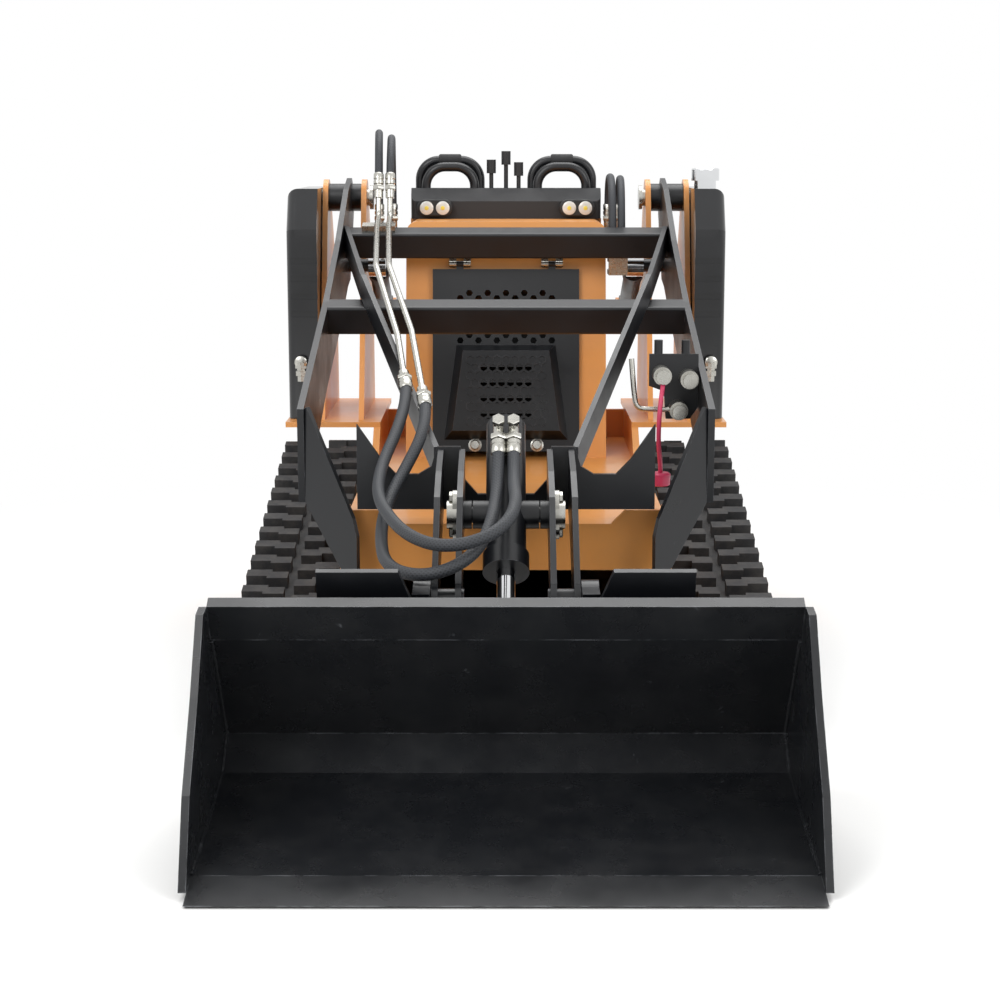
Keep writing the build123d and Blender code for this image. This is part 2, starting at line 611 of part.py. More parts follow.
# Lift arm plates: long bent plate, pivot sleeve and the stub pin that takes the lift rod
ARM_OUTLINE = (
    (845, 985), (800, 1010), (692, 986), (453, 882), (136, 772), (-406, 622), (-401, 453), (-330, 462),
    (60, 600), (400, 690), (640, 768), (715, 780), (856, 940),
)
SLEEVE_RADIUS = 32.0
SLEEVE_END_GAP = 0.5
STUB_GAP = 0.5
for side, sign in SIDES:
    with BuildPart() as arm_plate:
        slab(sign * ARM_X, sign * ARM_PLATE, ARM_OUTLINE)
        sleeve_x = TOWER_INNER_X + TOWER_PLATE + SLEEVE_END_GAP
        sleeve_length = TOWER_OUTER_X - SLEEVE_END_GAP - sleeve_x
        disc(sign * sleeve_x, sign * sleeve_length, PIVOT, SLEEVE_RADIUS)
        disc(sign * sleeve_x, sign * sleeve_length, PIVOT, PIVOT_PIN_RADIUS + RUNNING_GAP, Mode.SUBTRACT)
        stub_x = LIFT_X + LIFT_EYE_HALF + STUB_GAP
        disc(sign * stub_x, sign * (ARM_X - stub_x), LIFT_PIN, LIFT_PIN_RADIUS)
    finish(arm_plate.part, f"arm_plate_{side}")

# Cross tubes between the arm plates
CROSS_TUBE_ROUND = 6.0
with BuildPart() as cross_tubes:
    with BuildSketch(Plane.YZ.offset(-ARM_X)) as section:
        with Locations(UPPER_TUBE, LOWER_TUBE):
            RectangleRounded(CROSS_TUBE, CROSS_TUBE, CROSS_TUBE_ROUND, rotation=CROSS_TUBE_TURN)
    extrude(section.sketch, amount=2 * ARM_X)
finish(cross_tubes.part, "cross_tubes")

# Toed-in front legs: folded panel from the arm plate down beside the bucket hinge
LEG_START = (ARM_X, -401.0)
LEG_END = (265.0, -455.0)
LEG_PLATE = 10.0
leg_run = unit(LEG_START, LEG_END)
LEG_LENGTH = hypot(LEG_END[0] - LEG_START[0], LEG_END[1] - LEG_START[1])
# Distance along the leg's slant, Z
LEG_OUTLINE = (
    (0, 622), (6, 625), (LEG_LENGTH - 8, 432), (LEG_LENGTH, 400), (LEG_LENGTH, 262), (LEG_LENGTH - 12, 262),
    (78, 334), (0, 453),
)
leg_normal = (leg_run[1], -leg_run[0])
with BuildPart() as arm_legs:
    with BuildSketch(Plane(origin=(*LEG_START, 0), x_dir=(*leg_run, 0), z_dir=(*leg_normal, 0))) as panel:
        Polygon(*LEG_OUTLINE, align=None)
    extrude(panel.sketch, amount=LEG_PLATE)
    mirror(about=Plane.YZ)
finish(arm_legs.part, "arm_legs")

# Cross plate between the legs, with three cut-outs in its top edge
CROSS_PLATE_HALF = 263.5
CROSS_PLATE_FACE = mirrored((
    (0, 475), (50, 475), (72, 500), (80, 560), (122, 560), (132, 525), (155, 511), (195, 511), (220, 537),
    (CROSS_PLATE_HALF, 600), (CROSS_PLATE_HALF, 448), (0, 448),
))
with BuildPart() as cross_plate:
    front_slab(CROSS_PLATE_Y, CROSS_PLATE, CROSS_PLATE_FACE)
finish(cross_plate.part, "cross_plate")

# Braces on edge from the upper tube, over the lower tube, to the cross plate
BRACE_PLATE = 10.0
BRACE_REAR = 559.0
BRACE_BEND = (290.0, 124.0)
BRACE_FRONT_X = 123.0
BRACE_TOP = ((BRACE_REAR, 908), (116, 828), (CROSS_PLATE_Y, 558))
BRACE_FOOT = ((CROSS_PLATE_Y, 505), (116, 779), (BRACE_REAR, 852))
with BuildPart() as braces:
    centre = ((ARM_X - BRACE_PLATE / 2, BRACE_REAR), BRACE_BEND, (BRACE_FRONT_X, CROSS_PLATE_Y))
    strip = [(x + BRACE_PLATE / 2, y) for x, y in centre]
    strip += [(x - BRACE_PLATE / 2, y) for x, y in reversed(centre)]
    with BuildSketch(Plane.XY.offset(BRACE_FOOT[0][1])) as plan:
        for side, sign in SIDES:
            Polygon(*[(sign * x, y) for x, y in strip], align=None)
    extrude(plan.sketch, amount=BRACE_TOP[0][1] - BRACE_FOOT[0][1])
    slab(-ARM_X, 2 * ARM_X, [*BRACE_TOP, *BRACE_FOOT], Mode.INTERSECT)
finish(braces.part, "braces")

# Inner plates that carry the trunnion and the bucket hinge
cross_front = CROSS_PLATE_Y - CROSS_PLATE
INNER_OUTLINE = (
    (cross_front, 448), (cross_front, 556), (-560, 535), (-650, 506), (-786, 388), (-762, 322), (-700, 335),
    (-560, 412),
)
BOSS_INNER_X = 58.0
BOSS_RADIUS = 24.0
BEARING_LENGTH = 18.0
BEARING_FLANGE = 8.0
with BuildPart() as inner_plates:
    for side, sign in SIDES:
        for x in INNER_PLATES:
            slab(sign * x, sign * INNER_PLATE, INNER_OUTLINE)
            disc(sign * x, sign * INNER_PLATE, HINGE, HINGE_ROUND)
            disc(sign * x, sign * INNER_PLATE, HINGE, HINGE_PIN_RADIUS + RUNNING_GAP, Mode.SUBTRACT)
        disc(sign * BOSS_INNER_X, sign * (INNER_PLATES[0] - BOSS_INNER_X), TRUNNION, BOSS_RADIUS)
        bearing_x = INNER_PLATES[0] + INNER_PLATE
        disc(sign * bearing_x, sign * BEARING_LENGTH, TRUNNION, BOSS_RADIUS)
        with BuildSketch(Plane.YZ.offset(sign * bearing_x)) as bearing:
            with Locations(TRUNNION):
                SlotOverall(84, 40, rotation=90)
        extrude(bearing.sketch, amount=sign * BEARING_FLANGE)
        bore_length = bearing_x + BEARING_LENGTH - BOSS_INNER_X
        bore_radius = TRUNNION_RADIUS + RUNNING_GAP
        disc(sign * BOSS_INNER_X, sign * bore_length, TRUNNION, bore_radius, Mode.SUBTRACT)
finish(inner_plates.part, "inner_plates")

# Lift cylinders
lift_run = unit(LIFT_BASE, LIFT_PIN)
LIFT_LENGTH = hypot(LIFT_PIN[0] - LIFT_BASE[0], LIFT_PIN[1] - LIFT_BASE[1])
LIFT_GLAND_LENGTH = 26.0
LIFT_FOOT = 22.0
for side, sign in SIDES:
    x = sign * LIFT_X
    with BuildPart() as lift_barrel:
        disc(x - LIFT_EYE_HALF, 2 * LIFT_EYE_HALF, LIFT_BASE, LIFT_EYE_RADIUS)
        foot = along(LIFT_BASE, lift_run, LIFT_FOOT)
        rod(bar_plane(x, foot, lift_run), LIFT_BARREL_RADIUS - 3, LIFT_BARREL_LENGTH - LIFT_FOOT)
        gland = along(LIFT_BASE, lift_run, LIFT_BARREL_LENGTH - LIFT_GLAND_LENGTH)
        rod(bar_plane(x, gland, lift_run), LIFT_BARREL_RADIUS, LIFT_GLAND_LENGTH)
        bore_start = along(LIFT_BASE, lift_run, LIFT_ROD_START - 2)
        bore_radius = LIFT_ROD_RADIUS + RUNNING_GAP
        rod(bar_plane(x, bore_start, lift_run), bore_radius, LIFT_BARREL_LENGTH, Mode.SUBTRACT)
        disc(x - LIFT_EYE_HALF, 2 * LIFT_EYE_HALF, LIFT_BASE, LIFT_PIN_RADIUS + RUNNING_GAP, Mode.SUBTRACT)
    finish(lift_barrel.part, f"lift_barrel_{side}")
    with BuildPart() as lift_rod:
        disc(x - LIFT_EYE_HALF, 2 * LIFT_EYE_HALF, LIFT_PIN, LIFT_EYE_RADIUS)
        rod_start = along(LIFT_BASE, lift_run, LIFT_ROD_START)
        rod(bar_plane(x, rod_start, lift_run), LIFT_ROD_RADIUS, LIFT_LENGTH - LIFT_ROD_START)
    finish(lift_rod.part, f"lift_rod_{side}")

# Tilt cylinder: trunnion-mounted barrel with hose ports on top, and its rod
tilt_run = unit(TRUNNION, ROD_PIN)
tilt_up = (-tilt_run[0], -tilt_run[1])
TILT_LENGTH = hypot(ROD_PIN[0] - TRUNNION[0], ROD_PIN[1] - TRUNNION[1])
TRUNNION_BLOCK = 56.0
PORT_X = (-13.0, 13.0)
PORT_RADIUS = 9.0
TILT_ROD_BACK = 60.0
TILT_BORE_BACK = 165.0
PORT_RISE = 52.0
PORT_ALONG = 150.0
PORT_STEM = 34.0
tilt_face = (tilt_run[1], -tilt_run[0])
port_foot = along(TRUNNION, tilt_up, PORT_ALONG)
port_eye = along(port_foot, tilt_face, PORT_RISE)
PORT_END = along(port_eye, tilt_run, PORT_STEM)
with BuildPart() as tilt_barrel:
    barrel_top = along(TRUNNION, tilt_up, TILT_ABOVE)
    rod(bar_plane(0, barrel_top, tilt_run), TILT_BARREL_RADIUS, TILT_ABOVE + TILT_BELOW)
    gland = along(TRUNNION, tilt_run, TILT_BELOW - TILT_GLAND_LENGTH)
    rod(bar_plane(0, gland, tilt_run), TILT_GLAND_RADIUS, TILT_GLAND_LENGTH)
    disc(-TRUNNION_BLOCK, 2 * TRUNNION_BLOCK, TRUNNION, BOSS_RADIUS)
    pin_half = INNER_PLATES[0] + INNER_PLATE + BEARING_LENGTH
    disc(-pin_half, 2 * pin_half, TRUNNION, TRUNNION_RADIUS)
    for x in PORT_X:
        rod(bar_plane(x, port_foot, tilt_face), PORT_RADIUS, PORT_RISE + 12)
        rod(bar_plane(x, port_eye, tilt_run), PORT_RADIUS, PORT_STEM)
    bore_start = along(TRUNNION, tilt_up, TILT_BORE_BACK)
    bore_length = TILT_BORE_BACK + TILT_BELOW + 1
    rod(bar_plane(0, bore_start, tilt_run), TILT_ROD_RADIUS + RUNNING_GAP, bore_length, Mode.SUBTRACT)
finish(tilt_barrel.part, "tilt_barrel")
with BuildPart() as tilt_rod:
    disc(-TILT_EYE_HALF, 2 * TILT_EYE_HALF, ROD_PIN, TILT_EYE_RADIUS)
    rod_start = along(TRUNNION, tilt_up, TILT_ROD_BACK)
    rod(bar_plane(0, rod_start, tilt_run), TILT_ROD_RADIUS, TILT_LENGTH + TILT_ROD_BACK)
finish(tilt_rod.part, "tilt_rod")

# Bucket shell, rail, sides and cutting edge
INSIDE_HALF = BUCKET_HALF - BUCKET_SIDE
rail_run = unit(BUCKET_INSIDE[-1], BUCKET_TOP)
rail_out = (rail_run[1], -rail_run[0])
back_run = unit(BUCKET_INSIDE[2], BUCKET_INSIDE[3])
back_out = (back_run[1], -back_run[0])
with BuildPart() as bucket_shell:
    with BuildSketch(Plane.YZ.offset(-INSIDE_HALF)) as wall:
        with BuildLine():
            Polyline(*BUCKET_INSIDE)
            offset(amount=BUCKET_WALL, side=Side.RIGHT)
        make_face()
    extrude(wall.sketch, amount=2 * INSIDE_HALF)
finish(bucket_shell.part, "bucket_shell")
with BuildPart() as bucket_rail:
    rail_foot = BUCKET_INSIDE[-1]
    rail_back = along(rail_foot, back_out, BUCKET_WALL)
    rail = (
        rail_foot, BUCKET_TOP, along(BUCKET_TOP, rail_out, RAIL_DEPTH),
        along(rail_back, rail_out, RAIL_DEPTH - BUCKET_WALL), rail_back,
    )
    slab(-INSIDE_HALF, 2 * INSIDE_HALF, rail)
finish(bucket_rail.part, "bucket_rail")
floor_run = unit(BUCKET_INSIDE[0], BUCKET_INSIDE[1])
floor_out = (floor_run[1], -floor_run[0])
EDGE_PLATE = 14.0
with BuildPart() as cutting_edge:
    edge_rear = BUCKET_INSIDE[0]
    edge = (BUCKET_LIP, edge_rear, along(edge_rear, floor_out, EDGE_PLATE), (BUCKET_LIP[0] + 12, 0.5))
    slab(-INSIDE_HALF, 2 * INSIDE_HALF, edge)
finish(cutting_edge.part, "cutting_edge")
floor_bend = along(BUCKET_INSIDE[1], floor_out, BUCKET_WALL)
heel = along(BUCKET_INSIDE[2], back_out, BUCKET_WALL)
SIDE_NOSE = (-1168.0, 12.0)
SIDE_BROW = (-936.0, 372.0)
BUCKET_SIDE_OUTLINE = (
    SIDE_NOSE, along(BUCKET_INSIDE[0], floor_out, BUCKET_WALL), floor_bend, heel,
    along(BUCKET_INSIDE[3], back_out, BUCKET_WALL), BUCKET_TOP, SIDE_BROW, (-1010.0, 262.0), (-1110.0, 140.0),
)
with BuildPart() as bucket_sides:
    for side, sign in SIDES:
        slab(sign * INSIDE_HALF, sign * BUCKET_SIDE, BUCKET_SIDE_OUTLINE)
finish(bucket_sides.part, "bucket_sides")

# Hitch: plate behind the bucket with gussets to its back, ears on the hinge pin and ears for the rod
hitch_run = unit(HITCH_FOOT, HITCH_HEAD)
hitch_out = (hitch_run[1], -hitch_run[0])
HITCH_LENGTH = hypot(HITCH_HEAD[0] - HITCH_FOOT[0], HITCH_HEAD[1] - HITCH_FOOT[1])
GUSSETS = (60.0, 150.0, 285.0)
GUSSET_PLATE = 12.0
HITCH_DIP = 70.0
HITCH_TAB_X = 170.0
hitch_plane = Plane(origin=(0, *HITCH_FOOT), x_dir=(1, 0, 0), z_dir=(0, *[-value for value in hitch_out]))
back_low = along(BUCKET_INSIDE[2], back_out, BUCKET_WALL)
back_high = along(BUCKET_INSIDE[3], back_out, BUCKET_WALL)
with BuildPart() as hitch_plate:
    hitch_face = mirrored((
        (0, 0), (HITCH_HALF, 0), (HITCH_HALF, HITCH_LENGTH), (HITCH_TAB_X, HITCH_LENGTH),
        (HITCH_TAB_X - 25, HITCH_LENGTH - HITCH_DIP), (0, HITCH_LENGTH - HITCH_DIP),
    ))
    with BuildSketch(hitch_plane) as plate:
        Polygon(*hitch_face, align=None)
        with Locations((0, HITCH_LENGTH)):
            Rectangle(2 * ROD_EAR_X, 2 * (HITCH_LENGTH - 30), mode=Mode.SUBTRACT)
    extrude(plate.sketch, amount=HITCH_PLATE)
    plate_front = along(HITCH_FOOT, hitch_out, -HITCH_PLATE)
    gusset = (
        along(back_low, back_run, 60), along(back_low, back_run, 232),
        along(plate_front, hitch_run, 170), along(plate_front, hitch_run, 10),
    )
    for sign in (-1, 1):
        for x in GUSSETS:
            slab(sign * x, sign * GUSSET_PLATE, gusset)
        ear = (
            along(HITCH_FOOT, hitch_run, 130), along(HITCH_FOOT, hitch_run, 215),
            along(HINGE, hitch_run, 26), along(HINGE, hitch_run, -26),
        )
        slab(sign * HITCH_EAR_X, sign * HITCH_EAR, ear)
        disc(sign * HITCH_EAR_X, sign * HITCH_EAR, HINGE, 30)
        pin_x = INNER_PLATES[0] - 4
        disc(sign * pin_x, sign * (HITCH_EAR_X - pin_x), HINGE, HINGE_PIN_RADIUS)
        disc(sign * ROD_EAR_X, sign * ROD_EAR, ROD_PIN, 30)
finish(hitch_plate.part, "hitch_plate")

# Hose shelves between the hood and the towers, with two ferrules each: X of the ferrules
SHELF_Z = 880.0
SHELF_PLATE = 12.0
SHELF_Y = (835.0, 875.0)
SHELF_PORTS = {"left": (-300.0, -268.0), "right": (242.0, 268.0)}
PORT_Y = 855.0
shelf_top = SHELF_Z + SHELF_PLATE
with BuildPart() as hose_shelves:
    low, high = SHELF_Y
    shelf = ((low, SHELF_Z), (high, SHELF_Z), (high, shelf_top), (low, shelf_top))
    for side, sign in SIDES:
        slab(sign * HOOD_HALF, sign * (TOWER_INNER_X - HOOD_HALF), shelf)
        for x in SHELF_PORTS[side]:
            rod(Plane(origin=(x, PORT_Y, shelf_top)), FERRULE_RADIUS, FERRULE_LENGTH)
finish(hose_shelves.part, "hose_shelves")

# Clamps that hold the steel tubes on the upper cross tube and on the left brace
tube_turn = radians(CROSS_TUBE_TURN)
tube_slope = (cos(tube_turn), sin(tube_turn))
tube_normal = (-sin(tube_turn), cos(tube_turn))
tube_edge = along(along(UPPER_TUBE, tube_slope, -CROSS_TUBE / 2), tube_normal, CROSS_TUBE / 2)
CLAMP_SPAN = (14.0, 44.0)
CLAMP_HEIGHT = 14.0
CLAMP_X = (-322.0, -248.0)
with BuildPart() as tube_clamp:
    start = along(tube_edge, tube_slope, CLAMP_SPAN[0])
    end = along(tube_edge, tube_slope, CLAMP_SPAN[1])
    block = (start, end, along(end, tube_normal, CLAMP_HEIGHT), along(start, tube_normal, CLAMP_HEIGHT))
    slab(CLAMP_X[0], CLAMP_X[1] - CLAMP_X[0], block)
finish(tube_clamp.part, "tube_clamp")

# Steel tubes along the left brace, with a ferrule at each end
clamp_rest = along(along(tube_edge, tube_slope, 29.0), tube_normal, CLAMP_HEIGHT + STEEL_TUBE / 2 + 0.2)
tube_back = along(clamp_rest, tube_slope, 40.0)
tube_front = along(clamp_rest, tube_slope, -38.0)
TUBE_ROUTES = (
    (
        (-288, 634, 968), (-288, *tube_back), (-287, *tube_front), (-262, 116, 846), (-207, -120, 727),
        (-190, -240, 668),
    ),
    (
        (-262, 634, 968), (-262, *tube_back), (-261, *tube_front), (-236, 116, 846), (-180, -120, 735),
        (-153, -300, 645),
    ),
)
TUBE_BENDS = (25, 25, 80, 80)


def end_ferrule(end, before):
    """Workplane at a tube's end, facing away from the tube."""
    return Plane(origin=end, z_dir=Vector(*end) - Vector(*before))


with BuildPart() as steel_tubes:
    for route in TUBE_ROUTES:
        with BuildLine() as path:
            FilletPolyline(*route, radius=TUBE_BENDS)
        with BuildSketch(Plane(origin=path.line @ 0, z_dir=path.line % 0)) as section:
            Circle(STEEL_TUBE / 2)
        sweep(section.sketch, path=path.line)
        for end, before in ((route[0], route[1]), (route[-1], route[-2])):
            rod(end_ferrule(end, before), FERRULE_RADIUS, FERRULE_LENGTH)
finish(steel_tubes.part, "steel_tubes")

# Bracket below the upper cross tube that takes the right hoses
BRACKET_X = (232.0, 274.0)
tube_low = along(UPPER_TUBE, tube_normal, -CROSS_TUBE / 2)
BRACKET_SHELF_Z = 806.0
BRACKET_PORT = (654.0, BRACKET_SHELF_Z)
with BuildPart() as hose_bracket:
    web = (
        along(tube_low, tube_slope, -16), along(tube_low, tube_slope, 10), (615, BRACKET_SHELF_Z),
        (672, BRACKET_SHELF_Z), (672, BRACKET_SHELF_Z - 10), (596, BRACKET_SHELF_Z - 10),
    )
    slab(BRACKET_X[0], BRACKET_X[1] - BRACKET_X[0], web)
    for x in (243.0, 263.0):
        rod(Plane(origin=(x, *BRACKET_PORT)), FERRULE_RADIUS - 1, FERRULE_LENGTH)
finish(hose_bracket.part, "hose_bracket")

# Auxiliary couplers on a bracket inside the right arm plate: X, Z
COUPLERS = ((290.0, 663.0), (340.0, 656.0), (321.0, 598.0))
COUPLER_RADIUS = 17.0
COUPLER_LENGTH = 44.0
COUPLER_NOSE_RADIUS = 13.0
COUPLER_NOSE = 20.0
COUPLER_Y = -200.0
COUPLER_PLATE = 8.0
COUPLER_STUDS = (285.0, 336.0)
STUD_RADIUS = 8.0
STUD_HEIGHT = 26.0
BRACKET_TOP = 700.0
with BuildPart() as coupler_bracket:
    bracket = (
        (268, 640), (268, BRACKET_TOP), (ARM_X, BRACKET_TOP), (ARM_X, 600),
        (345, 578), (300, 578), (296, 630),
    )
    front_slab(COUPLER_Y, COUPLER_PLATE, bracket)
    for x in COUPLER_STUDS:
        rod(Plane(origin=(x, COUPLER_Y - COUPLER_PLATE / 2, BRACKET_TOP)), STUD_RADIUS, STUD_HEIGHT)
finish(coupler_bracket.part, "coupler_bracket")
with BuildPart() as couplers:
    face_y = COUPLER_Y - COUPLER_PLATE
    for x, z in COUPLERS:
        rod(Plane(origin=(x, face_y, z), x_dir=(1, 0, 0), z_dir=(0, -1, 0)), COUPLER_RADIUS, COUPLER_LENGTH)
        nose = Plane(origin=(x, face_y - COUPLER_LENGTH, z), x_dir=(1, 0, 0), z_dir=(0, -1, 0))
        rod(nose, COUPLER_NOSE_RADIUS, COUPLER_NOSE)
finish(couplers.part, "couplers")


def leave(end, before, distance):
    """Point on the line of a tube's end, beyond its ferrule."""
    run = Vector(*end) - Vector(*before)
    return tuple(Vector(*end) + run.normalized() * (FERRULE_LENGTH + distance))


HOSE_GAP = 0.5
HOSE_LEAD = 45.0
BARREL_LEAD = 48.0
tube_fronts = [(route[-1], route[-2]) for route in TUBE_ROUTES]
tube_rears = [(route[0], route[1]) for route in TUBE_ROUTES]
shelf_port = (PORT_Y, shelf_top + FERRULE_LENGTH + HOSE_GAP)
bracket_port = (BRACKET_PORT[0], BRACKET_SHELF_Z + FERRULE_LENGTH + HOSE_GAP)
barrel_port = along(PORT_END, tilt_run, HOSE_GAP)
barrel_lead = along(PORT_END, tilt_run, BARREL_LEAD)

# Hoses: name, diameter, route of (X, Y, Z) points
HOSES = (
    ("tilt_hose_a", HOSE, (
        leave(*tube_fronts[0], HOSE_GAP), leave(*tube_fronts[0], HOSE_LEAD), (-193, -395, 584),
        (-218, -480, 533), (-221, -568, 497), (-197, -650, 474), (-163, -728, 458), (-119, -784, 451),
        (-73, -806, 455), (-24, -798, 469), (7, -762, 489), (17, -712, 510), (13, -645, 523),
        (PORT_X[1], *barrel_lead), (PORT_X[1], *barrel_port),
    )),
    ("tilt_hose_b", HOSE, (
        leave(*tube_fronts[1], HOSE_GAP), leave(*tube_fronts[1], HOSE_LEAD), (-150, -426, 573),
        (-177, -477, 525), (-199, -530, 489), (-210, -591, 458), (-209, -656, 430), (-199, -725, 411),
        (-168, -781, 404), (-123, -807, 406), (-74, -802, 422), (-41, -771, 446), (-24, -724, 476),
        (-16, -655, 505), (PORT_X[0], *barrel_lead), (PORT_X[0], *barrel_port),
    )),
    ("top_hose_left_a", TOP_HOSE, (
        leave(*tube_rears[0], HOSE_GAP), leave(*tube_rears[0], HOSE_LEAD), (-289, 682, 1086),
        (-291, 726, 1114), (-294, 775, 1111), (-297, 817, 1082), (-299, 844, 1035), (-300, PORT_Y, 976),
        (-300, *shelf_port),
    )),
    ("top_hose_left_b", TOP_HOSE, (
        leave(*tube_rears[1], HOSE_GAP), leave(*tube_rears[1], HOSE_LEAD), (-262, 686, 1078),
        (-263, 729, 1103), (-265, 776, 1099), (-267, 816, 1070), (-268, 843, 1026), (-268, PORT_Y, 973),
        (-268, *shelf_port),
    )),
    ("top_hose_right_a", TOP_HOSE, (
        (243, *bracket_port), (243, BRACKET_PORT[0], 880), (243, 668, 935), (243, 700, 982), (243, 745, 1010),
        (242, 794, 1014), (242, 834, 996), (242, PORT_Y, 960), (242, *shelf_port),
    )),
    ("top_hose_right_b", TOP_HOSE, (
        (263, *bracket_port), (263, BRACKET_PORT[0], 880), (263, 669, 933), (264, 702, 979), (265, 746, 1006),
        (266, 794, 1010), (267, 833, 993), (268, PORT_Y, 959), (268, *shelf_port),
    )),
)
ARC_SHARE = 0.45
for name, diameter, route in HOSES:
    points = [Vector(*point) for point in route]
    runs = [after - before for before, after in zip(points, points[1:])]
    radii = []
    for before, after in zip(runs, runs[1:]):
        half_turn = radians(before.get_angle(after)) / 2
        radii.append(ARC_SHARE * min(before.length, after.length) / tan(half_turn))
    with BuildPart() as hose:
        with BuildLine() as path:
            FilletPolyline(*points, radius=radii)
        with BuildSketch(Plane(origin=path.line @ 0, z_dir=path.line % 0)) as section:
            Circle(diameter / 2)
        sweep(section.sketch, path=path.line)
    length = sum(edge.length for edge in path.line.edges())
    fill = hose.part.volume / (section.sketch.area * length)
    print(name, "length", round(length), "radii", [round(radius) for radius in radii], "fill", round(fill, 4))
    finish(hose.part, name)
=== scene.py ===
"""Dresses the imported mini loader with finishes, hoses and small fittings, for a studio picture."""
from __future__ import annotations

import logging
import math
from dataclasses import dataclass
from enum import Enum
from typing import Any, Callable, Iterable, Optional, Sequence

import bpy
from mathutils import Matrix, Vector

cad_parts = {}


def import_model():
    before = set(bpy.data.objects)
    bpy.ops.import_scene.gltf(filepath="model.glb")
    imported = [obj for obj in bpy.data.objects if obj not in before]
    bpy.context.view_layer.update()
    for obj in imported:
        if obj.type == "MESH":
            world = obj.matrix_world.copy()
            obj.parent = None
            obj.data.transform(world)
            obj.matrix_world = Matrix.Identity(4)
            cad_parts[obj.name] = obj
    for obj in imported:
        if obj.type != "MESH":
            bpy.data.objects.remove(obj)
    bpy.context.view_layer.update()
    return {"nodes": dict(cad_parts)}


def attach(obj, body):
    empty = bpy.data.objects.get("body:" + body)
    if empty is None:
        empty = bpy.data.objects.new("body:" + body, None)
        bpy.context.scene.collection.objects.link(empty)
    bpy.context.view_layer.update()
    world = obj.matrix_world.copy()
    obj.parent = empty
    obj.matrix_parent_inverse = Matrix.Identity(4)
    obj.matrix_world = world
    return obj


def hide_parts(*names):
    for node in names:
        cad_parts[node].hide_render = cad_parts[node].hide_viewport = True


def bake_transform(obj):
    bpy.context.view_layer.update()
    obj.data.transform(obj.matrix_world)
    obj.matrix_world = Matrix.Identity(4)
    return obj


LOG = logging.getLogger("mini_loader")
Point = tuple[float, float, float]
MM = 0.001
# A wave texture of scale 1 repeats every tau / 20 units
WAVE_UNIT = math.tau / 20
# Places and directions in Y and Z, in millimetres, as in the part's own source
TRUNNION = (-600.0, 467.0)
TILT_FACE = (-0.6955, 0.718)
DOOR_OUT = (-0.9788, 0.2047)
DOOR_RUN = (0.2047, 0.9788)
BUCKET_INSIDE = ((-1123.0, 22.0), (-790.0, 73.0), (-729.0, 122.0), (-870.0, 316.0))


def linear(hex_colour: str) -> tuple[float, float, float, float]:
    """Turn an sRGB hex value into a linear colour.

    Args:
        hex_colour: six hex digits after a hash sign.

    Returns:
        Red, green, blue and alpha, linear.
    """
    parts = [int(hex_colour[i:i + 2], 16) / 255 for i in (1, 3, 5)]
    red, green, blue = [p / 12.92 if p <= 0.04045 else ((p + 0.055) / 1.055) ** 2.4 for p in parts]
    return (red, green, blue, 1.0)


def per_mm(size_mm: float) -> float:
    """Scale a texture on coordinates in metres.

    Args:
        size_mm: size of one repeat in millimetres.

    Returns:
        The texture's scale.
    """
    return 1000.0 / size_mm


def add_node(
    tree: bpy.types.NodeTree, kind: str, inputs: Optional[dict[Any, Any]] = None, **settings: Any
) -> Any:
    """Add a node with its settings, values and links.

    Args:
        tree: node tree that takes the node.
        kind: the node's type name.
        inputs: socket name or number to a value, or to an output socket that is linked to it.
        settings: properties of the node.

    Returns:
        The new node.
    """
    made = tree.nodes.new(kind)
    for key, value in settings.items():
        setattr(made, key, value)
    for key, value in (inputs or {}).items():
        if isinstance(value, bpy.types.NodeSocket):
            tree.links.new(value, made.inputs[key])
        else:
            made.inputs[key].default_value = value
    return made


def blank_material(name: str) -> tuple[bpy.types.Material, Any, Any]:
    """Make an empty node material.

    Args:
        name: name of the material.

    Returns:
        The material, its node tree and its shader node.
    """
    material = bpy.data.materials.new(name)
    material.use_nodes = True
    tree = material.node_tree
    tree.nodes.clear()
    shader = add_node(tree, "ShaderNodeBsdfPrincipled")
    add_node(tree, "ShaderNodeOutputMaterial", {"Surface": shader.outputs["BSDF"]})
    return material, tree, shader


